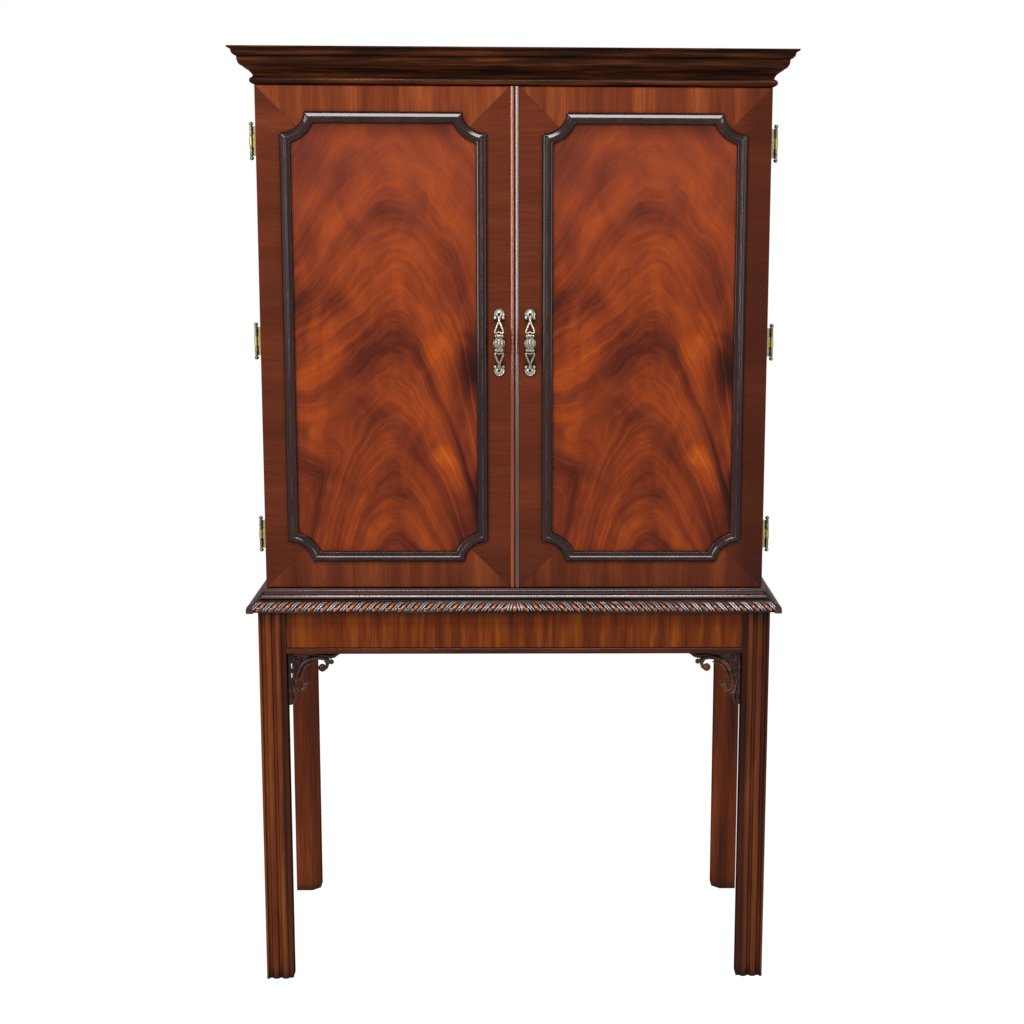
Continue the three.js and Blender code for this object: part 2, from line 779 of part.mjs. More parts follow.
function hingeCaseLeaf() {
  const half = hingeLength / 2;
  const third = hingeLength / 6 + fitGap;
  const ends = [[-half, -third], [third, half]];
  const ball = half + finialRadius - finialNeck;
  const balls = [-ball, ball].map((z) => {
    const sphere = new THREE.SphereGeometry(finialRadius, hingeSides, hingeSides / 2);
    return sphere.rotateX(Math.PI / 2).translate(0, 0, z);
  });
  return joined(
    hingePlate(hingeLeafGap / 2, 1, ends),
    ...ends.map(([z0, z1]) => hingeCylinder(knuckleRadius, z0, z1)),
    hingeCylinder(pinRadius, -half, half),
    ...balls,
  );
}

function hingeDoorLeaf() {
  const third = hingeLength / 6;
  const withKnuckle = joined(
    hingePlate(-hingeLeafGap / 2, -1, [[-third, third]]),
    hingeCylinder(knuckleRadius, -third, third),
  );
  return cutFrom(withKnuckle, hingeCylinder(pinRadius + pinClearance, -hingeLength, hingeLength));
}

function doors() {
  const parts = {
    door_slab: [doorSlab(), finish.crossband],
    door_flame_panel: [
      doorPanel(frameWidth - panelLap, cabinetFront, cabinetFront + panelThickness),
      finish.flame,
    ],
    door_frame_moulding: [frameMoulding(), finish.moulding],
    door_meeting_bead: [meetingBead(), finish.moulding],
  };
  const pullShape = pull();
  const leaves = { case_leaf: hingeCaseLeaf(), door_leaf: hingeDoorLeaf() };
  const levels = ["lower", "middle", "upper"];
  return sides.map(({ name, sign }) => {
    const mirrored = sign < 0;
    const boards = Object.entries(parts).map(([part, [geometry, material]]) =>
      mesh(`${name}_${part}`, geometry, material, [0, 0, 0], mirrored),
    );
    const pullPlace = [(sign * pullSpacing) / 2, cabinetFront, doorMiddle];
    const hinges = hingeHeights().flatMap((z, level) => {
      const place = [sign * pinX, pinY, z];
      return Object.entries(leaves).map(([leaf, geometry]) =>
        mesh(`${name}_${levels[level]}_hinge_${leaf}`, geometry, finish.brass, place, !mirrored),
      );
    });
    return group(boards, mesh(`${name}_pull`, pullShape, finish.brass, pullPlace), hinges);
  });
}

// Bar deck, leaf and supports, in the left bay

const bay = { x0: -innerSide, x1: -halfDivider };
const leafPin = { y: deckFront - leafPinReach, z: deckTop + leafGap / 2 };
const loperTop = leafPin.z - leafGap / 2 - leafThickness - loperDrop;
const loperMiddles = { outer: bay.x0 + loperInsetOuter, inner: bay.x1 - loperInsetInner };

// The deck, with an open channel for each support
function barDeck() {
  const board = block([bay.x0, bay.x1], [deckFront, innerBack], [deckTop - deckThickness, deckTop]);
  const half = loperWidth / 2 + fitGap;
  const channels = Object.values(loperMiddles).map((x) =>
    block(
      [x - half, x + half],
      [deckFront - cutOverrun, deckFront + loperLength + fitGap],
      [loperTop - loperHeight - fitGap, loperTop + fitGap],
    ),
  );
  return cutFrom(board, ...channels);
}

function loper(x) {
  const half = loperWidth / 2;
  const bar = block(
    [x - half, x + half],
    [deckFront, deckFront + loperLength],
    [loperTop - loperHeight, loperTop],
  );
  const knob = new THREE.CylinderGeometry(knobRadius, knobRadius, knobLength + cutOverrun, knobSides);
  knob.translate(x, deckFront - knobLength + (knobLength + cutOverrun) / 2, loperTop - loperHeight / 2);
  return joined(bar, knob);
}

// One half of the leaf's long hinge. up is 1 for the half on the leaf and -1 for the half on the deck.
function leafHinge(up) {
  const [x0, x1] = [bay.x0 + leafHingeInset, bay.x1 - leafHingeInset];
  const pitch = (x1 - x0) / leafKnuckles;
  const plateY = [deckFront - leafPlateThickness, deckFront];
  const clear = leafKnuckleRadius + fitGap;
  const [plateNear, plateFar] = [leafPin.z + up * clear, leafPin.z + up * (clear + leafPlateHeight)];
  const plate = block([x0, x1], plateY, [plateNear, plateFar].sort((a, b) => a - b));
  const wanted = up > 0 ? 1 : 0;
  const rod = (radius, from, to) =>
    new THREE.CylinderGeometry(radius, radius, to - from, leafKnuckleSides)
      .rotateZ(Math.PI / 2)
      .translate((from + to) / 2, leafPin.y, leafPin.z);
  const knuckles = Array.from({ length: leafKnuckles }, (_, index) => index)
    .filter((index) => index % 2 === wanted)
    .flatMap((index) => {
      const from = x0 + index * pitch + (index > 0 ? fitGap / 2 : 0);
      const to = x0 + (index + 1) * pitch - (index < leafKnuckles - 1 ? fitGap / 2 : 0);
      const tab = [leafPin.z, plateNear + up * fitGap].sort((a, b) => a - b);
      return [rod(leafKnuckleRadius, from, to), block([from, to], plateY, tab)];
    });
  const hinge = joined(plate, ...knuckles);
  return up > 0
    ? cutFrom(hinge, rod(leafPinRadius + fitGap, x0 - cutOverrun, x1 + cutOverrun))
    : joined(hinge, rod(leafPinRadius, x0, x1));
}

function leafBoard() {
  const base = deckTop + leafGap;
  return block(
    [bay.x0 + leafSideGap, bay.x1 - leafSideGap],
    [deckFront, deckFront + leafDepth],
    [base, base + leafThickness],
  );
}

function barPieces() {
  return [
    mesh("bar_deck", barDeck(), finish.interior),
    mesh("fold_out_leaf", leafBoard(), finish.flame),
    mesh("leaf_hinge_deck_half", leafHinge(-1), finish.brass),
    mesh("leaf_hinge_leaf_half", leafHinge(1), finish.brass),
    ...Object.entries(loperMiddles).map(([place, x]) =>
      mesh(`${place}_leaf_support`, loper(x), finish.interior),
    ),
  ];
}

// Shelves, mirror and racks

function stemwareRack() {
  const width = bay.x1 - bay.x0;
  const pitch = (width - stemWebWidth) / stemLanes;
  const boardBase = ceiling - stemBoardThickness;
  const webBase = boardBase - stemWebHeight;
  const flangeBase = webBase - stemFlangeThickness;
  const lane = (index) => {
    const [left, right] = [bay.x0 + stemWebWidth + index * pitch, bay.x0 + (index + 1) * pitch];
    const middle = (left + right) / 2;
    const [slotLeft, slotRight] = [middle - stemGap / 2, middle + stemGap / 2];
    return [
      [slotLeft, flangeBase],
      [slotLeft, webBase],
      [left, webBase],
      [left, boardBase],
      [right, boardBase],
      [right, webBase],
      [slotRight, webBase],
      [slotRight, flangeBase],
    ];
  };
  const lanes = Array.from({ length: stemLanes }, (_, index) => lane(index)).flat();
  const [leftEdge, rightEdge] = [bay.x0, bay.x1].map((x) => [[x, ceiling], [x, flangeBase]]);
  const section = [...leftEdge, ...lanes, ...rightEdge.reverse()];
  const [front, back] = [caseFront + stemSetback, innerBack];
  return run(section, ([x, z]) => [x, front, z], ([x, z]) => [x, back, z]);
}

function bottleRack() {
  const [z0, z1] = [openingBase, deckTop - deckThickness];
  const cellWidth = (bay.x1 - bay.x0 - rackWall * (rackColumns + 1)) / rackColumns;
  const cellHeight = (z1 - z0 - rackWall * (rackRows + 1)) / rackRows;
  const [front, back] = [deckFront, deckFront + rackDepth];
  const cells = Array.from({ length: rackColumns * rackRows }, (_, index) => {
    const [column, row] = [index % rackColumns, Math.floor(index / rackColumns)];
    const left = bay.x0 + rackWall + column * (cellWidth + rackWall);
    const low = z0 + rackWall + row * (cellHeight + rackWall);
    const through = [front - cutOverrun, back + cutOverrun];
    return block([left, left + cellWidth], through, [low, low + cellHeight]);
  });
  return cutFrom(block([bay.x0, bay.x1], [front, back], [z0, z1]), ...cells);
}

function shelvesAndRacks() {
  const shelfBase = glassShelfBase();
  const glass = block(
    [bay.x0 + glassEdgeGap, bay.x1 - glassEdgeGap],
    [caseFront + glassSetback, innerBack - glassEdgeGap],
    [shelfBase, shelfBase + glassThickness],
  );
  const mirrorPane = block(
    [bay.x0 + mirrorMargin, bay.x1 - mirrorMargin],
    [innerBack - mirrorThickness, innerBack],
    [deckTop + mirrorMargin, shelfBase - cleatHeight - mirrorMargin],
  );
  const rightShelf = block(
    [halfDivider, innerSide],
    [deckFront, innerBack],
    [deckTop - shelfThickness, deckTop],
  );
  return [
    mesh("glass_shelf", glass, finish.glass),
    mesh("back_mirror", mirrorPane, finish.mirror),
    mesh("right_shelf", rightShelf, finish.interior),
    mesh("stemware_rack", stemwareRack(), finish.interior),
    mesh("bottle_rack", bottleRack(), finish.interior),
  ];
}

export default group(stand(), caseGroup(), ...doors(), barPieces(), shelvesAndRacks());
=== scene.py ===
"""Looks of a mahogany bar cabinet on a stand, built around its fixed frame. Metres, +Z up, doors face -Y."""
import json
import math

import bmesh
import bpy
from mathutils import Matrix, Vector

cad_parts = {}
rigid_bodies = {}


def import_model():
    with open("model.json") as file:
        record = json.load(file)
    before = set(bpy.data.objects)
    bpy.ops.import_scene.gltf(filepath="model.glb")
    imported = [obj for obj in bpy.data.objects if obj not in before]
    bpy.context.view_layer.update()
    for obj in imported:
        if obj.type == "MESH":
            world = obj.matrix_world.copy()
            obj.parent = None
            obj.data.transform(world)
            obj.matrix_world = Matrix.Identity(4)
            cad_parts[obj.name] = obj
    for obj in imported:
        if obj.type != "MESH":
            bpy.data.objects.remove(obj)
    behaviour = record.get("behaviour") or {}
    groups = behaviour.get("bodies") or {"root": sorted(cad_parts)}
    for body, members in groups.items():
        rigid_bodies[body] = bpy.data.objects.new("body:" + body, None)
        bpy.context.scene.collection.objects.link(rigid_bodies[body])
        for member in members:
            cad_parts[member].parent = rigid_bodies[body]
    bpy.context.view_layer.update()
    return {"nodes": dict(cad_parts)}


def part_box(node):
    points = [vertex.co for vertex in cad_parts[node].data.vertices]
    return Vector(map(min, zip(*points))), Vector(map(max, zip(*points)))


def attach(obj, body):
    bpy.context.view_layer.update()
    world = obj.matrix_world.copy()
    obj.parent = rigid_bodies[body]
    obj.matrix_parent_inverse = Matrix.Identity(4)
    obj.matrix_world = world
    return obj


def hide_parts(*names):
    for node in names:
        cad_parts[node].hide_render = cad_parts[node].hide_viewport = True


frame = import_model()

bpy.ops.object.select_all(action="DESELECT")

# Camera, from the photograph's perspective: the place of the eye, its turn, pitch and slight roll
EYE = Vector((0.02446, -3.82886, 1.60032))
EYE_TURN = math.radians(1.396)
EYE_PITCH = math.radians(9.746)
EYE_ROLL = math.radians(-0.25)
EYE_LENS = 63.24
EYE_SHIFT = (-0.05679, 0.0032)
EYE_SENSOR = 36

bpy.ops.object.camera_add(location=EYE)
camera = bpy.context.object
ahead = math.cos(EYE_PITCH)
forward = Vector((math.sin(EYE_TURN) * ahead, math.cos(EYE_TURN) * ahead, -math.sin(EYE_PITCH)))
level_right = Vector((math.cos(EYE_TURN), -math.sin(EYE_TURN), 0))
level_down = forward.cross(level_right)
tilted_right = level_right * math.cos(EYE_ROLL) + level_down * math.sin(EYE_ROLL)
tilted_up = level_right * math.sin(EYE_ROLL) - level_down * math.cos(EYE_ROLL)
eye_axes = Matrix((tilted_right, tilted_up, -forward)).transposed().to_4x4()
camera.matrix_world = Matrix.Translation(EYE) @ eye_axes
camera.data.lens = EYE_LENS
camera.data.shift_x, camera.data.shift_y = EYE_SHIFT
camera.data.sensor_width = EYE_SENSOR
bpy.context.scene.camera = camera

# Planes of the cabinet, read from the frame
SIDES = {"left": -1, "right": 1}
LEG_LOW, LEG_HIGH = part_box("right_front_leg")
APRON_LOW, APRON_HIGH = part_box("front_apron")
SLAB_LOW, SLAB_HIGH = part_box("right_door_slab")
MOULD_LOW, MOULD_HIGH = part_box("right_door_frame_moulding")
BEAD_LOW, BEAD_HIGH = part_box("right_door_meeting_bead")
EDGE_LOW, EDGE_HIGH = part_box("front_gadroon_edge")
WAIST_LOW, WAIST_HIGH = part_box("front_waist_moulding")
CORNICE_LOW, CORNICE_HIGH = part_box("front_cornice")
PULL_LOW, PULL_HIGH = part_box("right_pull")
CASE_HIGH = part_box("case_right_side")[1]
HALF_CASE, CASE_BACK = CASE_HIGH.x, CASE_HIGH.y
HALF_STAND, STAND_FRONT = LEG_HIGH.x, LEG_LOW.y
STAND_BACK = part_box("right_back_leg")[1].y
LEG_WIDTH = LEG_HIGH.x - LEG_LOW.x
LEG_TOP = LEG_HIGH.z
DOOR_FACE = SLAB_LOW.y

# Mesh tools. A finished piece has its place in its mesh. Angles are in degrees
MERGE_DISTANCE = 0.00001
FLAT_ANGLE = 1
SHARP_ANGLE = 32
ARRIS_ANGLE = 40
SWEEP_ANGLE = 50
SMOOTH_ALL = 180


def pick(piece):
    """Makes a piece the only one that the next operator works on."""
    bpy.ops.object.select_all(action="DESELECT")
    piece.select_set(True)
    bpy.context.view_layer.objects.active = piece


def settle(piece):
    """Puts a piece's place, turn and size into its mesh."""
    pick(piece)
    bpy.ops.object.transform_apply(location=True, rotation=True, scale=True)
    return piece


def named(name):
    """Names the primitive that was just added."""
    piece = bpy.context.object
    piece.name = piece.data.name = name
    return piece


def discard(*pieces):
    """Deletes pieces that were only made to be copied or cut with."""
    for piece in pieces:
        bpy.data.objects.remove(piece)


def edit():
    """Edits the active piece with its whole mesh selected."""
    bpy.ops.object.mode_set(mode="EDIT")
    bpy.ops.mesh.select_all(action="SELECT")


def done():
    bpy.ops.object.mode_set(mode="OBJECT")


def closed(piece):
    """Ends the edit of a piece, with all its faces turned outwards."""
    bpy.ops.mesh.select_all(action="SELECT")
    bpy.ops.mesh.normals_make_consistent(inside=False)
    done()
    return settle(piece)


def modify(piece, kind, **settings):
    """Adds a modifier with its settings and applies it."""
    bpy.context.view_layer.objects.active = piece
    modifier = piece.modifiers.new(kind.title(), kind)
    for setting, value in settings.items():
        setattr(modifier, setting, value)
    bpy.ops.object.modifier_apply(modifier=modifier.name)
    return piece


def cut_out(piece, cutter):
    """Takes the room of a cutter out of a piece."""
    modify(piece, "BOOLEAN", operation="DIFFERENCE", object=cutter, solver="EXACT")
    discard(cutter)


def smooth(piece, angle=SHARP_ANGLE):
    """Shades a piece smooth, apart from edges sharper than an angle."""
    pick(piece)
    bpy.ops.object.shade_smooth_by_angle(angle=math.radians(angle))
    return piece


def ease(piece, width, segments=2, angle=ARRIS_ANGLE):
    """Rounds a piece's arrises."""
    limit = {"limit_method": "ANGLE", "angle_limit": math.radians(angle)}
    modify(piece, "BEVEL", width=width, segments=segments, harden_normals=False, **limit)
    return smooth(piece)


def join(name, pieces):
    """Joins pieces into the first one, under a name."""
    bpy.ops.object.select_all(action="DESELECT")
    for piece in pieces:
        piece.select_set(True)
    bpy.context.view_layer.objects.active = pieces[0]
    if len(pieces) > 1:
        bpy.ops.object.join()
    return named(name)


def copy_of(piece, name, shift=(0, 0, 0), mirrored=False):
    """A copy with a mesh of its own, moved, or mirrored across the middle of the cabinet."""
    pick(piece)
    bpy.ops.object.duplicate()
    twin = named(name)
    twin.location = shift
    if mirrored:
        twin.scale.x = -1
    settle(twin)
    if mirrored:
        edit()
        closed(twin)
    return twin


def draw_points(points):
    """In edit mode, draws a line of edges: the plane just added is merged to a corner and extruded on."""
    bpy.ops.mesh.merge(type="CENTER")
    for before, after in zip(points, points[1:]):
        bpy.ops.mesh.extrude_region_move(TRANSFORM_OT_translate={"value": after - before})


def drawn(name, points, size):
    """A piece that is a line of edges through some points, left in edit mode with all of it selected."""
    bpy.ops.mesh.primitive_plane_add(size=size, location=points[0])
    piece = named(name)
    edit()
    draw_points(points)
    bpy.ops.mesh.select_all(action="SELECT")
    return piece


def prism(name, outline, along):
    """A closed outline in space, filled and extruded by a vector."""
    piece = drawn(name, [Vector(point) for point in outline], along.length)
    bpy.ops.mesh.edge_face_add()
    bpy.ops.mesh.extrude_region_move(TRANSFORM_OT_translate={"value": along})
    return closed(piece)


def cut(piece, point, normal):
    """Cuts away what lies on the far side of a plane, in the direction of its normal, and caps the cut."""
    pick(piece)
    edit()
    bpy.ops.mesh.bisect(plane_co=point, plane_no=normal, use_fill=True, clear_outer=True)
    done()
    return piece


def board(name, low, high, arris):
    """A board between two corners, with eased arrises."""
    low, high = Vector(low), Vector(high)
    bpy.ops.mesh.primitive_cube_add(size=1, location=(low + high) / 2, scale=high - low)
    return ease(settle(named(name)), arris)


def turned(name, profile, centre, axis, steps=24):
    """A solid of revolution. Its profile runs from end to end of the axis: along it, and radius."""
    axis = Vector(axis).normalized()
    out = axis.orthogonal().normalized()
    centre = Vector(centre)
    piece = drawn(name, [centre + axis * along + out * radius for along, radius in profile], LEG_WIDTH)
    bpy.ops.mesh.spin(steps=steps, angle=math.tau, center=centre, axis=axis)
    bpy.ops.mesh.select_all(action="SELECT")
    bpy.ops.mesh.remove_doubles(threshold=MERGE_DISTANCE)
    return smooth(closed(piece))


def ball(name, centre, radii, segments=16, rings=10):
    """A ball or a bean, from its three radii."""
    bpy.ops.mesh.primitive_uv_sphere_add(
        segments=segments, ring_count=rings, radius=1, location=centre, scale=radii
    )
    return smooth(settle(named(name)), SMOOTH_ALL)


def sweep(name, path, sizes, axis, flat=1, sides=10):
    """A bar swept along a path that stays square to one axis. Its half width at each point is in sizes."""
    path = [Vector(point) for point in path]
    first = path[1] - path[0]
    upright = axis == "Y"
    turn = (0, math.atan2(first.x, first.z), 0) if upright else (math.atan2(-first.y, first.z), 0, 0)

    def heading(step):
        return math.atan2(step.z, step.x) if upright else -math.atan2(step.z, step.y)

    bpy.ops.mesh.primitive_circle_add(
        vertices=sides, radius=sizes[0], fill_type="NGON", location=path[0], rotation=turn,
        scale=(1, flat, 1) if upright else (flat, 1, 1),
    )
    piece = named(name)
    edit()
    for index in range(1, len(path)):
        here = path[index]
        step = here - path[index - 1]
        bpy.ops.mesh.extrude_region_move(TRANSFORM_OT_translate={"value": step})
        bpy.ops.transform.resize(value=[sizes[index] / sizes[index - 1]] * 3, center_override=here)
        if index + 1 < len(path):
            change = (heading(path[index + 1] - here) - heading(step) + math.pi) % math.tau - math.pi
            bpy.ops.transform.rotate(value=change, orient_axis=axis, center_override=here)
    return smooth(closed(piece), SWEEP_ANGLE)


def eased_node(node, arris=0.0008, segments=2):
    """A board of the frame, copied, merged, rid of its inner triangle lines and given eased arrises."""
    pick(frame["nodes"][node])
    bpy.ops.object.duplicate()
    twin = named(f"{node}_finished")
    twin.parent = None
    twin.matrix_world = Matrix.Identity(4)
    edit()
    bpy.ops.mesh.remove_doubles(threshold=MERGE_DISTANCE)
    bpy.ops.mesh.dissolve_limited(angle_limit=math.radians(FLAT_ANGLE))
    done()
    return ease(twin, arris, segments)


def quarter(start, end, leaves_level, steps=8):
    """A quarter ellipse after the start, which leaves it level or upright."""
    points = []
    for index in range(1, steps + 1):
        angle = index / steps * math.pi / 2
        fast, slow = math.sin(angle), 1 - math.cos(angle)
        across, up = (fast, slow) if leaves_level else (slow, fast)
        points.append((start[0] + (end[0] - start[0]) * across, start[1] + (end[1] - start[1]) * up))
    return points


def swelling(start, end, proud, steps=14):
    """A half ellipse after the start, up to the height of the end, which swells out by some amount."""
    points = []
    for index in range(1, steps + 1):
        angle = index / steps * math.pi
        up = start[1] + (end - start[1]) * (1 - math.cos(angle)) / 2
        points.append((start[0] + proud * math.sin(angle), up))
    return points


def metres(table):
    """A table of lengths in millimetres, as metres."""
    return table / 1000 if isinstance(table, (int, float)) else tuple(metres(entry) for entry in table)


def finish(piece, body, material, slot, *nodes):
    """Gives a piece its material and body, and hides the frame nodes it stands for. Its slot is not used."""
    modify(piece, "WEIGHTED_NORMAL", keep_sharp=True)
    piece.data.materials.clear()
    piece.data.materials.append(material)
    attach(piece, body)
    if nodes:
        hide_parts(*nodes)


def finish_node(node, body, material, slot, arris=0.0008, segments=2):
    """Finishes a board of the frame as it is, with eased arrises."""
    finish(eased_node(node, arris, segments), body, material, slot, node)


# Shader tools


def tint(code):
    """A colour written as six hexadecimal digits, as linear light."""
    shares = [int(code[place : place + 2], 16) / 255 for place in (0, 2, 4)]
    linear = [s / 12.92 if s <= 0.04045 else ((s + 0.055) / 1.055) ** 2.4 for s in shares]
    return (*linear, 1)


def add(tree, kind, inputs=None, **settings):
    """Adds a node, with its settings, and sets or joins its inputs."""
    made = tree.nodes.new(f"ShaderNode{kind}")
    for setting, value in settings.items():
        setattr(made, setting, value)
    for socket, value in (inputs or {}).items():
        if isinstance(value, bpy.types.NodeSocket):
            tree.links.new(value, made.inputs[socket])
        else:
            made.inputs[socket].default_value = value
    return made


def calc(tree, operation, *values, clamp=False):
    """A number worked out from one, two or three values."""
    return add(tree, "Math", dict(enumerate(values)), operation=operation, use_clamp=clamp).outputs[0]


def times(tree, first, second):
    return calc(tree, "MULTIPLY", first, second)


def less(tree, first, second):
    """The first value without the second."""
    return calc(tree, "SUBTRACT", first, second)


def varied(tree, value, amount, base=0.0):
    """A base changed by how far a value lies from its middle, 0.5, times an amount."""
    return calc(tree, "MULTIPLY_ADD", less(tree, value, 0.5), amount, base)


def apart(tree, value, other):
    """How far two values lie from each other."""
    return calc(tree, "ABSOLUTE", less(tree, value, other))


def ramp(tree, factor, *stops, interpolation="EASE"):
    """A colour or grey ramp: each stop is a place and a grey share or the code of a colour."""
    made = add(tree, "ValToRGB", {"Fac": factor})
    scale = made.color_ramp
    scale.interpolation = interpolation
    while len(scale.elements) < len(stops):
        scale.elements.new(1)
    for element, (place, value) in zip(scale.elements, stops):
        element.position = place
        element.color = tint(value) if isinstance(value, str) else (value, value, value, 1)
    return made.outputs["Color"]


def mix(tree, factor, first, second):
    """A colour between two others: the second is a colour or its code."""
    second = tint(second) if isinstance(second, str) else second
    return add(tree, "Mix", {0: factor, 6: first, 7: second}, data_type="RGBA").outputs[2]


def mix_value(tree, factor, first, second):
    return add(tree, "Mix", {0: factor, 2: first, 3: second}, data_type="FLOAT").outputs[0]


def stained(tree, colour, mask, share, stain):
    """A colour with a share of another one laid over it where a mask says."""
    return mix(tree, times(tree, mask, share), colour, stain)


def noise(tree, place, scale, detail=3.0, roughness=0.5, distortion=0.0, seed=0.0):
    inputs = {"Vector": place, "W": seed, "Scale": scale, "Detail": detail}
    inputs.update({"Roughness": roughness, "Distortion": distortion})
    return add(tree, "TexNoise", inputs, noise_dimensions="4D").outputs["Fac"]


def clouded(tree, place, cloud, first, second):
    """Two colours in soft patches. A cloud holds the scale, detail and roughness of its noise."""
    return ramp(tree, noise(tree, place, *cloud), (0.3, first), (0.7, second))


def stretched(tree, place, scale):
    return add(tree, "Mapping", {"Vector": place, "Scale": scale}).outputs["Vector"]


def point_at(tree, x, y, z=0.0):
    return add(tree, "CombineXYZ", {"X": x, "Y": y, "Z": z}).outputs[0]


def axes_of(tree, place):
    return add(tree, "SeparateXYZ", {"Vector": place}).outputs


def seen_directly(tree):
    """1 where the camera, a reflection or clear glass looks, and 0 for light that falls on things."""
    paths = add(tree, "LightPath").outputs
    through = calc(tree, "MAXIMUM", paths["Is Glossy Ray"], paths["Is Transmission Ray"])
    return calc(tree, "MAXIMUM", paths["Is Camera Ray"], through)


def effect(name, inputs, outputs):
    """A new shader group with named inputs, each a float value or a vector, and named outputs."""
    tree = bpy.data.node_groups.new(name, "ShaderNodeTree")
    for socket, value in inputs.items():
        kind = "NodeSocketVector" if value is None else "NodeSocketFloat"
        made = tree.interface.new_socket(socket, in_out="INPUT", socket_type=kind)
        if value is not None:
            made.default_value = value
    for socket in outputs:
        tree.interface.new_socket(socket, in_out="OUTPUT", socket_type="NodeSocketFloat")
    return tree, tree.nodes.new("NodeGroupInput").outputs, tree.nodes.new("NodeGroupOutput").inputs


def use(tree, group, inputs):
    """Places a shader group in a material."""
    return add(tree, "Group", inputs, node_tree=group).outputs


# Shared effects


def straight_grain_effect():
    """Straight grain along X: broad stripes, fine fibres and short dark pores."""
    tree, given, out = effect(
        "straight_grain", {"Place": None, "Stripe Scale": 22.0, "Seed": 0.0}, ["Stripe", "Fibre", "Pore"]
    )
    seed = given["Seed"]
    bend = times(tree, noise(tree, stretched(tree, given["Place"], (1.5, 5, 5)), 1.0, 2.0, seed=seed), 0.03)
    shift = point_at(tree, 0.0, bend, bend)
    bent = add(tree, "VectorMath", {0: given["Place"], 1: shift}, operation="ADD").outputs[0]
    for output, stretch, scale, detail, roughness in (
        ("Stripe", 0.064, given["Stripe Scale"], 3.0, 0.55),
        ("Fibre", 0.03, 420.0, 4.0, 0.6),
        ("Pore", 0.07, 950.0, 1.0, 0.4),
    ):
        grain = noise(tree, stretched(tree, bent, (stretch, 1, 1)), scale, detail, roughness, 0.0, seed)
        if output == "Pore":
            grain = ramp(tree, grain, (0.58, 0.0), (0.72, 1.0))
        tree.links.new(grain, out[output])
    return tree


def hollow_effect():
    """How deep a place lies in a groove or a corner, from 0 in the open to 1: where dark glaze and painted
    shade are laid on.
    """
    tree, given, out = effect("glazing_and_painted_shade_in_hollows", {"Reach": 0.01, "Place": None}, ["Hollow"])
    open_share = add(tree, "AmbientOcclusion", {"Distance": given["Reach"]}, samples=6).outputs["AO"]
    patchy = calc(tree, "MULTIPLY_ADD", noise(tree, given["Place"], 60.0, 2.0), 0.5, 0.75)
    uneven = times(tree, less(tree, 1.0, open_share), patchy)
    tree.links.new(ramp(tree, uneven, (0.12, 0.0), (0.62, 1.0)), out["Hollow"])
    return tree


def wear_and_highlight_edge_effect():
    """A patchy mask along sharp edges, where the finish is rubbed thin; laid on in a pale colour it is a
    painted highlight.
    """
    tree, given, out = effect("wear_and_highlight_edges", {"Width": 0.0012, "Place": None}, ["Edge"])
    rounded = add(tree, "Bevel", {"Radius": given["Width"]}, samples=4).outputs["Normal"]
    true_normal = add(tree, "NewGeometry").outputs["Normal"]
    alike = add(tree, "VectorMath", {0: rounded, 1: true_normal}, operation="DOT_PRODUCT").outputs["Value"]
    sharp = calc(tree, "MULTIPLY", less(tree, 1.0, alike), 5.0, clamp=True)
    patchy = ramp(tree, noise(tree, given["Place"], 38.0, 4.0), (0.38, 0.0), (0.62, 1.0))
    tree.links.new(times(tree, sharp, patchy), out["Edge"])
    return tree


def polish_effect():
    """Rubbed polish: faint cloudy changes of gloss, and fine waves in the lacquer."""
    tree, given, out = effect(
        "rubbed_polish", {"Place": None, "Gloss": 0.28, "Spread": 0.12}, ["Roughness", "Wave"]
    )
    cloud = noise(tree, given["Place"], 14.0, 4.0, 0.6)
    rubbed = noise(tree, given["Place"], 120.0, 2.0, 0.5)
    both = calc(tree, "ADD", times(tree, cloud, 0.7), times(tree, rubbed, 0.3))
    tree.links.new(varied(tree, both, given["Spread"], given["Gloss"]), out["Roughness"])
    tree.links.new(cloud, out["Wave"])
    return tree


# Dark and light patches of the crotch figure: across, up, half width, half height and strength
FIGURE_PATCHES = (
    (0.43, 0.44, 0.07, 0.07, -0.34), (-0.46, 0.57, 0.10, 0.08, -0.20), (-0.42, 0.92, 0.14, 0.06, -0.22),
    (0.02, 0.795, 0.10, 0.03, -0.16), (0.44, 0.10, 0.08, 0.12, -0.26), (0.30, 0.36, 0.08, 0.12, 0.20),
    (-0.38, 0.40, 0.14, 0.07, 0.16), (-0.12, 0.90, 0.10, 0.06, 0.14), (0.36, 0.90, 0.10, 0.06, 0.12),
    (0.28, 0.62, 0.12, 0.05, -0.12),
)
# The bands that the arches cross, from the foot of the panel up: place and tone
FIGURE_BANDS = (
    (0.000, 0.44), (0.030, 0.36), (0.055, 0.44), (0.078, 0.66), (0.105, 0.56), (0.128, 0.34), (0.150, 0.60),
    (0.174, 0.62), (0.190, 0.42), (0.204, 0.58), (0.240, 0.44), (0.257, 0.22), (0.268, 0.48), (0.280, 0.56),
    (0.289, 0.34), (0.300, 0.58), (0.345, 0.62), (0.392, 0.44), (0.418, 0.16), (0.440, 0.30), (0.468, 0.52),
    (0.500, 0.56), (0.548, 0.58), (0.562, 0.44), (0.575, 0.57), (0.625, 0.58), (0.662, 0.34), (0.690, 0.52),
    (0.725, 0.66), (0.780, 0.42), (0.840, 0.55), (1.000, 0.50),
)
BAND_SPAN = 1.2
# Noises along the arches: scale along an arch and scale across it
ARCH_NOISES = {"streak": (2.0, 14.0), "line": (2.6, 70.0), "fibre": (8.0, 190.0)}


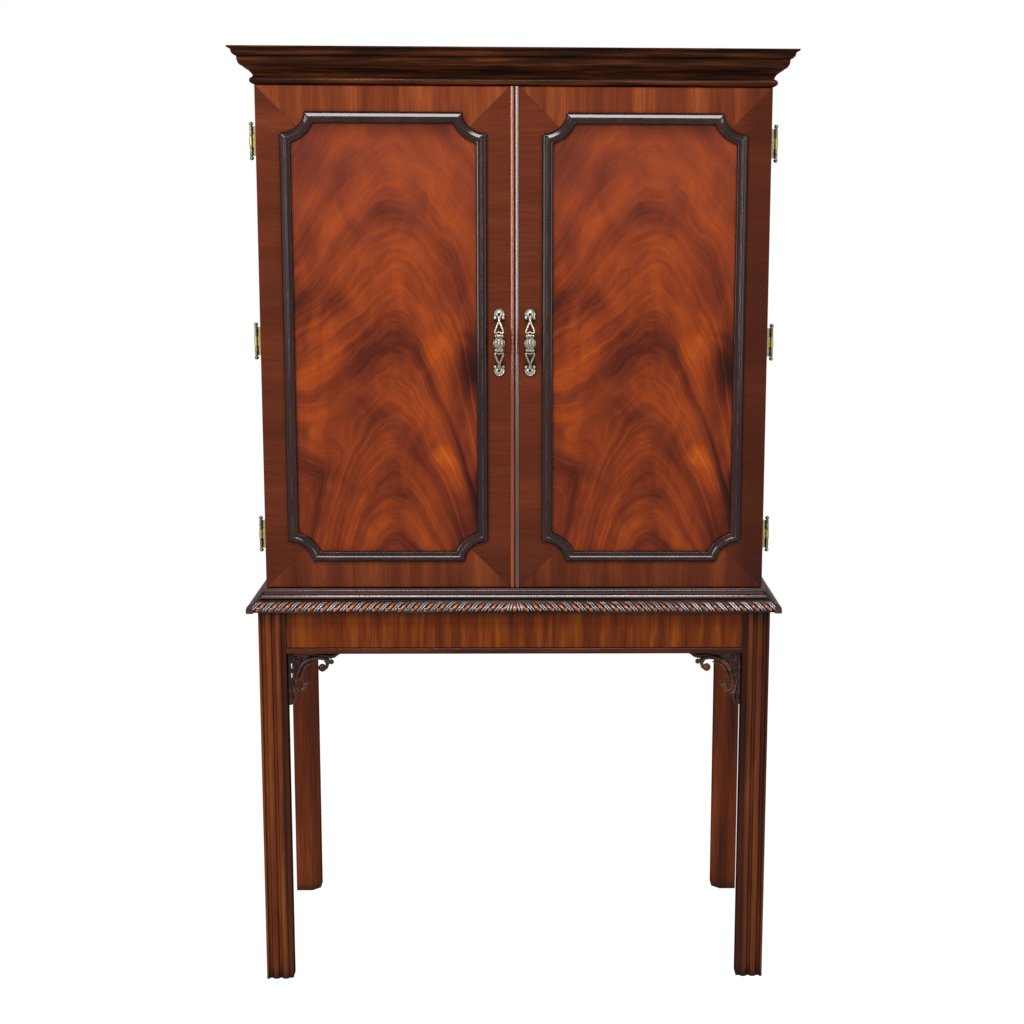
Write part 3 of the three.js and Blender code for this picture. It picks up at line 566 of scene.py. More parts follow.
def arch_figure_effect():
    """Crotch figure: arches nested up the panel. Across is 0 at the panel's middle, Up runs from 0 to 1."""
    tree, given, out = effect(
        "arched_flame", {"Across": 0.0, "Up": 0.0, "Seed": 0.0, "Depth": 1.0}, ["Tone", "Fibre"]
    )
    across, up, seed = given["Across"], given["Up"], given["Seed"]
    flat_place = point_at(tree, across, up)
    sway = noise(tree, flat_place, 2.1, 1.0, 0.4, 0.0, seed)
    ripple = noise(tree, stretched(tree, flat_place, (1, 1.8, 1)), 5.0, 2.0, 0.45, 0.0, seed)
    middle = calc(tree, "ADD", across, varied(tree, sway, 0.14, -0.04))
    low_share = ramp(tree, up, (0.25, 1.0), (0.8, 0.0))
    foot_share = ramp(tree, up, (0.08, 1.0), (0.32, 0.0))
    right = calc(tree, "MAXIMUM", middle, 0.0)
    left = calc(tree, "MAXIMUM", times(tree, middle, -1.0), 0.0)

    def drop(side, power, amount):
        return times(tree, calc(tree, "POWER", side, power), amount)

    shelf = calc(tree, "MULTIPLY_ADD", left, 0.16, calc(tree, "MULTIPLY_ADD", foot_share, 0.4, 0.045))
    held_left = calc(tree, "SMOOTH_MIN", drop(left, 1.9, 2.2), shelf, 0.08)
    drop_right = mix_value(tree, low_share, drop(right, 1.6, 0.7), drop(right, 1.9, 2.1))
    drop_left = mix_value(tree, low_share, drop(left, 1.7, 0.8), held_left)
    rippled = calc(tree, "ADD", up, varied(tree, ripple, 0.08))
    level = calc(tree, "ADD", rippled, calc(tree, "ADD", drop_right, drop_left))
    bands = ramp(tree, calc(tree, "DIVIDE", level, BAND_SPAN), *FIGURE_BANDS, interpolation="B_SPLINE")
    layers = {}
    for layer, (run_scale, cross_scale) in ARCH_NOISES.items():
        layer_place = point_at(tree, times(tree, middle, run_scale), times(tree, level, cross_scale))
        layers[layer] = noise(tree, layer_place, 1.0, 4.0, 0.6, 0.2, seed)
    cloud_seed = calc(tree, "ADD", seed, 3.7)
    cloud = noise(tree, stretched(tree, flat_place, (1, 1.3, 1)), 4.6, 3.0, 0.55, 0.8, cloud_seed)
    strength = times(tree, ramp(tree, cloud, (0.3, 0.35), (0.62, 1.0)), given["Depth"])
    tone = varied(tree, bands, strength)
    for layer, amount in ((layers["streak"], 0.75), (layers["line"], 0.45), (cloud, 0.8)):
        tone = varied(tree, layer, amount, tone)
    for patch_across, patch_up, half_width, half_height, patch_strength in FIGURE_PATCHES:
        u = calc(tree, "DIVIDE", less(tree, across, patch_across), half_width)
        v = calc(tree, "DIVIDE", less(tree, up, patch_up), half_height)
        square = calc(tree, "MULTIPLY_ADD", u, u, times(tree, v, v))
        fade = calc(tree, "EXPONENT", times(tree, square, -0.7))
        tone = calc(tree, "MULTIPLY_ADD", fade, patch_strength, tone)
    tree.links.new(calc(tree, "ADD", tone, 0.5, clamp=True), out["Tone"])
    tree.links.new(layers["fibre"], out["Fibre"])
    return tree


STRAIGHT_GRAIN = straight_grain_effect()
HOLLOW_GLAZING_AND_SHADE = hollow_effect()
WEAR_AND_HIGHLIGHT_EDGES = wear_and_highlight_edge_effect()
POLISH = polish_effect()
ARCH_FIGURE = arch_figure_effect()

# Materials
GRAIN_TURN = {"X": (0, 0, 0), "Y": (0, 0, math.pi / 2), "Z": (0, math.pi / 2, 0)}
BAND_WIDTH = 0.078  # crossbanding from a door's edges
BAND_JOINT = 0.0012
LEG_SHADE_STRIP = 0.0125  # the plain strip along the inner edge of a front leg, painted dark as shade
STRIP_SHADE_SHARE = 0.62  # how dark its painted shade is
STRIP_BLUR = 0.0015
HINGE_LEAF = 0.0022
POLISH_RELIEF = 0.00012
VENEER_SHINE = 0.06


def new_material(name):
    material = bpy.data.materials.new(name)
    material.use_nodes = True
    material.node_tree.nodes.clear()
    return material, material.node_tree


def object_place(tree, centre=(0, 0, 0), turn=(0, 0, 0)):
    place = add(tree, "TexCoord").outputs["Object"]
    moved = add(tree, "Mapping", {"Vector": place, "Location": [-c for c in centre]}).outputs["Vector"]
    return add(tree, "Mapping", {"Vector": moved, "Rotation": turn}).outputs["Vector"]


def surface(
    tree, colour, roughness, height, depth, shine=0.5, coat=0.03, coat_roughness=0.07, coat_ior=1.5, **plain
):
    """The shader of a finished surface: colour, roughness and relief change over it, the rest is plain."""
    bump = add(tree, "Bump", {"Height": height, "Distance": depth, "Strength": 1.0}).outputs["Normal"]
    inputs = {"Base Color": colour, "Roughness": roughness, "Normal": bump, "Specular IOR Level": shine}
    inputs.update({"Coat Weight": coat, "Coat Roughness": coat_roughness, "Coat IOR": coat_ior, **plain})
    shader = add(tree, "BsdfPrincipled", inputs)
    add(tree, "OutputMaterial", {"Surface": shader.outputs[0]})


def grain_tone(tree, figure, stripe_share, fibre_share):
    """How light straight grain is, from its stripes and its fibres."""
    return varied(tree, figure["Fibre"], fibre_share, varied(tree, figure["Stripe"], stripe_share, 0.5))


def wood_colour(tree, tone, dark, middle, light):
    return ramp(tree, tone, (0.1, dark), (0.5, middle), (0.92, light), interpolation="LINEAR")


def with_glazing_and_shade(tree, colour, place, reach, glazing_and_shade_colour, glazing_and_shade_share, wear_and_highlight, wear_and_highlight_share):
    """Dark glaze and painted shade in the hollows, and a lighter rub along the edges, which is a painted
    highlight where its colour is pale.
    """
    hollow = use(tree, HOLLOW_GLAZING_AND_SHADE, {"Reach": reach, "Place": place})["Hollow"]
    edge = use(tree, WEAR_AND_HIGHLIGHT_EDGES, {"Place": place})["Edge"]
    rubbed = stained(tree, colour, edge, wear_and_highlight_share, wear_and_highlight)
    return stained(tree, rubbed, hollow, glazing_and_shade_share, glazing_and_shade_colour)


def wood(
    name, dark, middle, light, grain, seed, stripe, contrast=1.0, gloss=0.3, coat=0.03, coat_ior=1.5,
    coat_roughness=0.1, shine=VENEER_SHINE, glazing_and_shade_colour="160806", glazing_and_shade_share=0.85, reach=0.012, wear_and_highlight=None,
    wear_and_highlight_share=0.35, painted_shade_within=None,
):
    """Polished mahogany with straight grain along one axis, with glaze and painted shade in the hollows,
    rubbed lighter or to another colour at edges, which is a painted highlight where that colour is pale.
    """
    material, tree = new_material(name)
    place = object_place(tree, turn=GRAIN_TURN[grain])
    figure = use(tree, STRAIGHT_GRAIN, {"Place": place, "Stripe Scale": stripe, "Seed": seed})
    colour = wood_colour(tree, grain_tone(tree, figure, 1.9 * contrast, 0.8 * contrast), dark, middle, light)
    colour = stained(tree, colour, figure["Pore"], 0.3, dark)
    colour = with_glazing_and_shade(tree, colour, place, reach, glazing_and_shade_colour, glazing_and_shade_share, wear_and_highlight or light, wear_and_highlight_share)
    # Painted shade: a dark strip along the inner edge of a front leg.
    if painted_shade_within:
        from_middle = calc(tree, "ABSOLUTE", axes_of(tree, object_place(tree))["X"])
        start, end = painted_shade_within - STRIP_BLUR, painted_shade_within + STRIP_BLUR
        colour = mix(tree, ramp(tree, from_middle, (start, STRIP_SHADE_SHARE), (end, 0.0)), colour, glazing_and_shade_colour)
    polish = use(tree, POLISH, {"Place": place, "Gloss": gloss})
    relief = calc(tree, "ADD", times(tree, figure["Fibre"], 0.25), polish["Wave"])
    slant = add(tree, "LayerWeight", {"Blend": 0.5}).outputs["Facing"]
    held_coat = times(tree, ramp(tree, slant, (0.6, 1.0), (0.88, 0.0)), coat)
    surface(
        tree, colour, polish["Roughness"], relief, POLISH_RELIEF, shine, held_coat, coat_roughness, coat_ior
    )
    return material


def crossband(name, outer_x, inner_x, seed, outer_shade):
    """Crossbanding round a door: level grain on the stiles, upright on the rails and on the field inside."""
    material, tree = new_material(name)
    place = object_place(tree)
    axes = axes_of(tree, place)
    from_outer = apart(tree, axes["X"], outer_x)
    from_side = calc(tree, "MINIMUM", from_outer, apart(tree, axes["X"], inner_x))
    from_end = calc(tree, "MINIMUM", apart(tree, axes["Z"], SLAB_HIGH.z), apart(tree, axes["Z"], SLAB_LOW.z))
    past_mitre = less(tree, from_side, from_end)
    inside = less(tree, calc(tree, "MINIMUM", from_side, from_end), BAND_WIDTH)
    in_field = calc(tree, "GREATER_THAN", inside, 0.0)
    on_rail = calc(tree, "MAXIMUM", calc(tree, "GREATER_THAN", past_mitre, 0.0), in_field)
    mitre = calc(tree, "ADD", calc(tree, "ABSOLUTE", past_mitre), in_field)
    nearest_joint = calc(tree, "MINIMUM", mitre, calc(tree, "ABSOLUTE", inside))
    joint = ramp(tree, nearest_joint, (0.0, 1.0), (BAND_JOINT, 0.0))
    bands = []
    for grain, stripe, band_seed, spread, codes in (
        ("X", 13.0, seed, 0.9, ("3A160C", "562513", "72361C")),
        ("Z", 30.0, seed + 4.0, 1.5, ("431B0F", "672E17", "8C4622")),
    ):
        band_place = object_place(tree, turn=GRAIN_TURN[grain])
        figure = use(tree, STRAIGHT_GRAIN, {"Place": band_place, "Stripe Scale": stripe, "Seed": band_seed})
        bands.append((wood_colour(tree, grain_tone(tree, figure, spread, 0.7), *codes), figure["Pore"]))
    (stile, stile_pore), (rail, rail_pore) = bands
    colour = stained(tree, mix(tree, on_rail, stile, rail), joint, 0.35, "3A160C")
    colour = stained(tree, colour, mix_value(tree, on_rail, stile_pore, rail_pore), 0.3, "3A160C")
    # Painted shade: darker towards the foot of the door, and along the outer stile as far as the door's
    # outer shade says.
    shade_toward_foot = ramp(tree, axes["Z"], (SLAB_LOW.z, 0.3), (SLAB_LOW.z + 0.3, 0.0))
    shade_by_outer_stile = ramp(tree, from_outer, (0.03, outer_shade), (0.07, 0.0))
    colour = mix(tree, calc(tree, "ADD", shade_toward_foot, shade_by_outer_stile, clamp=True), colour, "2A0F08")
    # Glaze and painted shade in the hollows beside the frame moulding.
    colour = with_glazing_and_shade(tree, colour, place, 0.014, "1C0A08", 0.8, "8A4426", 0.3)
    polish = use(tree, POLISH, {"Place": place, "Gloss": 0.26})
    surface(tree, colour, polish["Roughness"], polish["Wave"], 0.0001, VENEER_SHINE)
    return material


FLAME_COLOURS = ((0.0, "210D0A"), (0.25, "481A10"), (0.5, "702D15"), (0.75, "903D15"), (1.0, "B4561A"))


def flame(name, low, high, up_axis, seed):
    """Crotch veneer on a panel between two corners, with its arches nested along one axis."""
    material, tree = new_material(name)
    centre = (low + high) / 2
    place = object_place(tree, centre)
    axes = axes_of(tree, place)
    length = (high - low)["XYZ".index(up_axis)]
    across = calc(tree, "DIVIDE", axes["X"], high.x - low.x)
    up = calc(tree, "MULTIPLY_ADD", axes[up_axis], 1 / length, 0.5)
    figure = use(tree, ARCH_FIGURE, {"Across": across, "Up": up, "Seed": seed, "Depth": 0.95})
    upright = object_place(tree, centre, GRAIN_TURN[up_axis])
    hair = use(tree, STRAIGHT_GRAIN, {"Place": upright, "Stripe Scale": 40.0, "Seed": seed})
    tone = varied(tree, figure["Fibre"], 0.34, figure["Tone"])
    tone = varied(tree, hair["Fibre"], 0.14, tone)
    colour = ramp(tree, tone, *FLAME_COLOURS, interpolation="LINEAR")
    # Painted reflection: a paler, pinker haze over the upper half of the panel.
    painted_sheen_share = ramp(tree, up, (0.5, 0.0), (1.0, 0.7))
    colour = mix(tree, painted_sheen_share, colour, mix(tree, 0.5, colour, "74382A"))
    # Painted shadow of the frame moulding along the top of the panel.
    colour = mix(tree, ramp(tree, up, (0.94, 0.0), (0.99, 0.6)), colour, "260F0C")
    colour = stained(tree, colour, hair["Pore"], 0.22, "4A1C12")
    # Glaze and painted shade in the hollows along the frame.
    colour = with_glazing_and_shade(tree, colour, place, 0.02, "1E0B08", 0.75, "9A4A24", 0.2)
    polish = use(tree, POLISH, {"Place": place, "Gloss": 0.27})
    surface(tree, colour, polish["Roughness"], polish["Wave"], POLISH_RELIEF, VENEER_SHINE)
    return material


def cast_brass(name, dark, middle, light, gloss, plate=None):
    """Antiqued cast brass: dark in the hollows from patina and painted shade, rubbed on the high parts, and
    with a pale painted reflection on the leaf beside the door if asked.
    """
    material, tree = new_material(name)
    place = object_place(tree)
    colour = clouded(tree, place, (240.0, 4.0, 0.6), middle, light)
    # Painted reflection: a pale strip on the leaf beside the door's edge.
    if plate:
        from_edge = less(tree, calc(tree, "ABSOLUTE", axes_of(tree, place)["X"]), HALF_CASE)
        door_side_reflection = ramp(tree, calc(tree, "ABSOLUTE", from_edge), (HINGE_LEAF, 0.85), (2 * HINGE_LEAF, 0.0))
        colour = mix(tree, door_side_reflection, colour, plate)
    # Patina and painted shade in the hollows.
    hollow = use(tree, HOLLOW_GLAZING_AND_SHADE, {"Reach": 0.006, "Place": place})["Hollow"]
    edge = use(tree, WEAR_AND_HIGHLIGHT_EDGES, {"Width": 0.0006, "Place": place})["Edge"]
    colour = stained(tree, colour, hollow, 0.92, dark)
    colour = stained(tree, colour, edge, 0.5, light)
    pitted = noise(tree, place, 900.0, 2.0, 0.5)
    polish = use(tree, POLISH, {"Place": place, "Gloss": gloss, "Spread": 0.2})
    roughness = calc(tree, "MULTIPLY_ADD", hollow, 0.3, polish["Roughness"], clamp=True)
    metallic = calc(tree, "MULTIPLY_ADD", hollow, -0.45, 1.0, clamp=True)
    surface(tree, colour, roughness, pitted, POLISH_RELIEF, coat=0.0, Metallic=metallic)
    return material


def glass(name, cloud, first, second, gloss, spread, **plain):
    """Mirror glass or clear glass, faintly clouded."""
    material, tree = new_material(name)
    place = object_place(tree)
    colour = clouded(tree, place, cloud, first, second)
    polish = use(tree, POLISH, {"Place": place, "Gloss": gloss, "Spread": spread})
    surface(tree, colour, polish["Roughness"], polish["Wave"], 0.00001, coat=0.0, **plain)
    return material


INNER_EDGE = HALF_STAND - LEG_WIDTH + LEG_SHADE_STRIP
# The right front leg's darker colours are painted shade. On all legs the long reach lays painted shade in
# the channels between the reeds.
LEG_WOODS = {
    leg_name: wood(
        f"{leg_name}_leg_wood", *colours, "Z", 1.0, 26.0, coat=0.2, coat_roughness=0.25, shine=0.0,
        glazing_and_shade_colour="0A0403", glazing_and_shade_share=0.97, reach=0.04, painted_shade_within=strip,
    )
    for leg_name, colours, strip in (
        ("left_front", ("34140A", "5A250F", "844418"), INNER_EDGE),
        ("right_front", ("2A1008", "4A1E0C", "703816"), INNER_EDGE),
        ("left_back", ("3C170A", "6A2C0D", "944A18"), None),
        ("right_back", ("3C170A", "6A2C0D", "944A18"), None),
    )
}
# Its long reach lays painted shade on the top of the apron, under the carved edge.
APRON_VENEER = wood(
    "apron_veneer", "42190A", "642A0A", "844410", "Z", 2.0, 70.0, contrast=0.9, glazing_and_shade_colour="0C0603", reach=0.03
)
APRON_BEAD_WOOD = wood(
    "apron_bead_wood", "220D06", "3A170B", "562612", "X", 2.4, 60.0, coat=0.1, glazing_and_shade_colour="040202", reach=0.01
)
CASE_VENEER = wood("case_veneer", "42190E", "642A14", "803E20", "Z", 3.0, 12.0)
CORNICE_WOOD = {
    axis: wood(
        f"cornice_wood_{axis.lower()}", "140703", "2C1306", "52270F", axis, 4.0, 90.0, contrast=1.2,
        coat=0.12, coat_roughness=0.2, shine=0.0, glazing_and_shade_colour="040202", glazing_and_shade_share=1.0,
    )
    for axis in "XY"
}
WAIST_WOOD = {
    axis: wood(
        f"waist_wood_{axis.lower()}", "1E0C0A", "3A1A14", "5C2E26", axis, 4.5, 60.0, contrast=1.2, gloss=0.2,
        coat=1.0, coat_ior=1.55, coat_roughness=0.14, shine=0.0, glazing_and_shade_colour="040202", glazing_and_shade_share=1.0,
        reach=0.008,
    )
    for axis in "XY"
}
# Both meeting beads are the same wood; the right one's greyer, paler colours are a painted reflection.
BEAD_WOODS = {
    "left": wood(
        "bead_wood", "5A240E", "823A14", "9E501E", "Z", 5.0, 30.0, gloss=0.24, coat=0.6, coat_roughness=0.12
    ),
    "right": wood(
        "right_bead_painted_reflection", "3A221A", "5C3A2E", "7E5C50", "Z", 5.2, 30.0, gloss=0.16, coat=0.8,
        coat_ior=1.6, coat_roughness=0.16, glazing_and_shade_colour="030202", glazing_and_shade_share=1.0, reach=0.006,
    ),
}
# The pale rub along the frame moulding's crests is a painted highlight.
FRAME_WOOD = wood(
    "frame_wood", "160806", "240D09", "361812", "Z", 5.5, 30.0, coat=0.46, shine=0.0, glazing_and_shade_colour="030202",
    glazing_and_shade_share=1.0, wear_and_highlight="D2C8CC", wear_and_highlight_share=0.9,
)
# The ground's greyish colours, on wood with no gloss, are a painted reflection.
GROUND_WOOD = wood(
    "ground_with_painted_sheen", "1E1715", "36302E", "565150", "X", 6.5, 60.0, gloss=0.7, coat=0.0, shine=0.0,
    glazing_and_shade_colour="060404", glazing_and_shade_share=0.75, reach=0.006,
)
# The pale rub along the lobes' ridges is a painted highlight.
CARVED_WOOD = wood(
    "carved_wood", "4E1E08", "8E400E", "C06A1E", "X", 6.0, 60.0, gloss=0.22, coat=0.9, coat_ior=1.6,
    glazing_and_shade_colour="040202", glazing_and_shade_share=1.0, reach=0.009, wear_and_highlight="F0DCD0", wear_and_highlight_share=0.7,
)
# The tongues are the same wood as the lobes; their pale grey colours are painted highlights.
TONGUE_HIGHLIGHT_WOOD = wood(
    "tongue_painted_highlight", "463E40", "9C9296", "DAD4D8", "X", 6.2, 90.0, gloss=0.24, coat=0.9, coat_ior=1.6,
    glazing_and_shade_colour="040202", glazing_and_shade_share=1.0, reach=0.007,
)
# The pale rub along the scrolls' edges is a painted highlight.
BRACKET_WOOD = wood(
    "bracket_wood", "180804", "361609", "743C14", "X", 6.7, 60.0, gloss=0.24, coat=0.45, shine=0.0,
    glazing_and_shade_colour="030202", glazing_and_shade_share=1.0, reach=0.016, wear_and_highlight="D0C4C4", wear_and_highlight_share=0.28,
)
# A darker copy of the carved wood for the side runs and the corner leaves: painted shade, with a pale rub as
# painted highlight.
SHADED_SIDE_CARVING = wood(
    "side_carving_painted_shade", "160A06", "341A10", "6A3A20", "Y", 6.8, 60.0, gloss=0.24, coat=0.5,
    glazing_and_shade_colour="030202", glazing_and_shade_share=1.0, reach=0.016, wear_and_highlight="B4A8A4", wear_and_highlight_share=0.3,
)
INTERIOR_WOOD = wood("interior_wood", "42190B", "66300F", "86481F", "X", 7.0, 16.0, gloss=0.36)
INTERIOR_UPRIGHT = wood("interior_wood_upright", "42190B", "66300F", "86481F", "Z", 7.5, 16.0, gloss=0.36)
BACKING = {
    axis: wood(
        f"backing_boards_{axis.lower()}", "4A2C1C", "704A30", "8C6444", axis, 8.0, 16.0, gloss=0.62,
        coat=0.0, glazing_and_shade_colour="2A1C12", glazing_and_shade_share=0.5, wear_and_highlight_share=0.2,
    )
    for axis in "XZ"
}
PEWTER_BRASS = cast_brass("pull_brass", "100C09", "7C7466", "B0A898", 0.30)
# The hinge leaves' pale colour beside the door is a painted reflection. The case leaves use a darker copy of
# the hinge brass: painted shade.
HINGE_BRASS = cast_brass("hinge_brass", "1A140A", "8C7A48", "B4A26C", 0.34, "C4C2BE")
BAR_BRASS = cast_brass("bar_brass", "1A140A", "8C7A48", "B4A26C", 0.34)
SHADED_HINGE_BRASS = cast_brass("hinge_brass_shaded", "12100B", "4A4638", "8C8468", 0.34, "AAA8B2")
MIRROR = glass("silvered_mirror", (9.0, 5.0, 0.65), "C9CFD0", "E6EAEB", 0.04, 0.03, Metallic=1.0)
CLEAR = {"Transmission Weight": 1.0, "IOR": 1.5}
GLASS = glass("shelf_glass", (11.0, 4.0, 0.6), "DDEBE4", "F2F8F5", 0.03, 0.04, **CLEAR)

# Stand: moulded legs
REED_DEPTH = 0.0052
CORNER_FILLET = 0.0044
FILLET_ROUND = 0.0012
REEDS = ((0.0125, 0.0140), (0.0320, 0.0142))  # each one's start along the face, and its width
INNER_CHAMFER = 0.018
FOOT_BEVEL = (0.005, 0.020)
LEG_ARRIS = 0.0008
LEG_ARRIS_ANGLE = 50


def inner_corner(depth):
    """The inner corner of a leg's section, chamfered, between two faces that are set back by a depth."""
    chamfer = LEG_WIDTH - INNER_CHAMFER
    return [(LEG_WIDTH, depth), (LEG_WIDTH, chamfer), (chamfer, LEG_WIDTH), (depth, LEG_WIDTH)]


def reeded_outline():
    """The section of a moulded leg, inwards from its outer corner: a fillet and two reeds a face."""
    crown = (CORNER_FILLET, 0)
    face = [crown, *quarter(crown, (CORNER_FILLET + FILLET_ROUND, REED_DEPTH), True, 3)]
    for start, width in REEDS:
        face.append((start, REED_DEPTH))
        reed = swelling((0, start), start + width, REED_DEPTH, 12)
        face += [(along, REED_DEPTH - rise) for rise, along in reed]
    side_face = [(depth, along) for along, depth in reversed(face)]
    return [*face, *inner_corner(REED_DEPTH), *side_face, (0, 0)]


def leg(name, outline, outer_y, inward):
    """A right-hand leg with the two inner edges of its foot bevelled."""
    points = [(HALF_STAND - u, outer_y + inward * v, 0) for u, v in outline]
    piece = prism(name, points, Vector((0, 0, LEG_TOP)))
    inset, rise = FOOT_BEVEL
    cut(piece, (HALF_STAND - LEG_WIDTH + inset, outer_y, 0), (-rise, 0, -inset))
    cut(piece, (HALF_STAND, outer_y + inward * (LEG_WIDTH - inset), 0), (0, inward * rise, -inset))
    return ease(piece, LEG_ARRIS, angle=LEG_ARRIS_ANGLE)


def legs():
    for place, outline, outer_y, inward in (
        ("front", reeded_outline(), STAND_FRONT, 1),
        ("back", [(0, 0), *inner_corner(0)], STAND_BACK, -1),
    ):
        right = leg(f"right_{place}_leg_moulded", outline, outer_y, inward)
        left = smooth(copy_of(right, f"left_{place}_leg_moulded", mirrored=True))
        for side, piece in (("right", right), ("left", left)):
            leg_name = f"{side}_{place}"
            finish(piece, "case_and_stand", LEG_WOODS[leg_name], "leg_wood", f"{leg_name}_leg")


# Stand: aprons
APRON_BEAD = 0.0125
APRON_BEAD_PROUD = 0.0035
BEAD_QUIRK = 0.0012


def apron_outline(quirk):
    """The section of an apron board: depth behind its face, and height. A quirk parts it from a bead."""
    base, top = APRON_LOW.z, APRON_HIGH.z
    thickness = APRON_HIGH.y - APRON_LOW.y - APRON_BEAD_PROUD
    step = base + APRON_BEAD + BEAD_QUIRK
    foot = [(quirk, base), (quirk, step), (0, step)] if quirk else [(0, base)]
    return [*foot, (0, top), (thickness, top), (thickness, base)]


def bead_outline():
    """The section of the bead along the lower edge of an apron."""
    base = APRON_LOW.z
    bead = [(-proud, z) for proud, z in swelling((0, base), base + APRON_BEAD, APRON_BEAD_PROUD)]
    return [(0, base), *bead, (BEAD_QUIRK, base + APRON_BEAD), (BEAD_QUIRK, base)]


def aprons():
    """The four aprons and the board above them."""
    front_face = APRON_LOW.y + APRON_BEAD_PROUD
    setback = front_face - STAND_FRONT
    side_face, back_face = HALF_STAND - setback, STAND_BACK - setback
    inner = HALF_STAND - LEG_WIDTH
    near, far = STAND_FRONT + LEG_WIDTH, STAND_BACK - LEG_WIDTH
    across, along = Vector((2 * inner, 0, 0)), Vector((0, far - near, 0))
    for kind, outline, material, slot in (
        ("board", apron_outline(BEAD_QUIRK), APRON_VENEER, "apron_veneer"),
        ("bead", bead_outline(), APRON_BEAD_WOOD, "leg_wood"),
    ):
        front = prism(f"front_apron_{kind}", [(-inner, front_face + d, z) for d, z in outline], across)
        right = prism(f"right_apron_{kind}", [(side_face - d, near, z) for d, z in outline], along)
        left = copy_of(right, f"left_apron_{kind}", mirrored=True)
        for place, piece in (("front", front), ("right", right), ("left", left)):
            nodes = [f"{place}_apron"] if kind == "board" else []
            finish(smooth(piece), "case_and_stand", material, slot, *nodes)
    back = prism("back_apron_board", [(-inner, back_face - d, z) for d, z in apron_outline(0)], across)
    finish(back, "case_and_stand", APRON_VENEER, "apron_veneer", "back_apron")
    finish_node("stand_top", "case_and_stand", GROUND_WOOD, "leg_wood")


def three_sided(name, outline, half, front, back):
    """A moulding with mitred corners. An outline point says how far it stands out, and its height."""
    reach = max(out for out, _ in outline)
    across, along = Vector((2 * (half + reach), 0, 0)), Vector((0, front - reach - back, 0))
    front_piece = prism(f"front_{name}", [(-half - reach, front - out, z) for out, z in outline], across)
    right_piece = prism(f"right_{name}", [(half + out, back, z) for out, z in outline], along)
    cut(front_piece, (half, front, 0), (1, 1, 0))
    cut(front_piece, (-half, front, 0), (-1, 1, 0))
    cut(right_piece, (half, front, 0), (-1, -1, 0))
    left_piece = copy_of(right_piece, f"left_{name}", mirrored=True)
    return {"front": smooth(front_piece), "right": smooth(right_piece), "left": smooth(left_piece)}


# Stand: carved edge
EDGE_OVERHANG = 0.021
EDGE_LAP = 0.005
EDGE_FOOT_INSET = 0.004
EDGE_SHOULDER = 0.008
EDGE_TOP_FLAT = 0.018
EDGE_FILLET = 0.002
GADROON_ROOM = 0.0262  # along the edge for one lobe and its tongues
GADROON_LEAN = 0.0185
GADROON_SINK = 0.0065  # how far the ground lies below the carving
END_ROOM = 0.3  # left beside the last lobe, as a share of a lobe's room
CORNER_LEAF = 0.014
LOBE_SIZES = metres((2.2, 5.2, 6.4, 6.3, 5.7, 5, 4.3, 3.6, 2.8))
TONGUE_SIZES = metres((0.5, 1.1, 1.8, 2, 1.9, 1.8, 1.6, 1.4, 1.2))
TONGUE_OFFSETS = (0.0096, 0.0152)
MIDDLE_LEAN = 0.6  # how far the middle tongues lean, as a share of the first one's offset
CARVING_FOOT = 0.42  # share of the face below the carving


def edge_face(foot_inset, sink, steps):
    """The round face of the carved edge, from its foot to its crown, set back by some amount."""
    foot = (EDGE_OVERHANG - foot_inset - sink, EDGE_LOW.z)
    widest = (EDGE_OVERHANG - sink, EDGE_LOW.z + EDGE_SHOULDER)
    crown = (EDGE_OVERHANG - EDGE_TOP_FLAT - sink, EDGE_HIGH.z - EDGE_FILLET)
    return [foot, *quarter(foot, widest, True, steps), *quarter(widest, crown, False, steps)]


def edge_pieces(name, foot_inset, sink):
    """The carved edge's ground, set back by some amount, on three sides of the stand."""
    low, high = (-EDGE_LAP, EDGE_LOW.z), (-EDGE_LAP, EDGE_HIGH.z)
    crown = (EDGE_OVERHANG - EDGE_TOP_FLAT - sink, EDGE_HIGH.z)
    outline = [low, *edge_face(foot_inset, sink, 8), crown, high]
    return three_sided(name, outline, HALF_STAND, STAND_FRONT, STAND_BACK)


def carving(name, start, lean, sizes):
    """One carved ridge up the round face, as deep as its sizes. It leans along the edge from its head up."""
    face = edge_face(EDGE_FOOT_INSET, 0, 12)
    path = []
    for index, size in enumerate(sizes):
        share = index / (len(sizes) - 1)
        at = round((CARVING_FOOT + (1 - CARVING_FOOT) * share) * (len(face) - 1))
        out, height = face[at]
        before, after = face[at - 1], face[min(at + 1, len(face) - 1)]
        rise = Vector((after[0] - before[0], after[1] - before[1])).normalized()
        inwards = Vector((-rise.y, rise.x)) * size
        middle = max(height + inwards.y, EDGE_LOW.z + size)
        path.append((start + lean * share, STAND_FRONT - out - inwards.x, middle))
    return sweep(name, path, sizes, "X", sides=12)


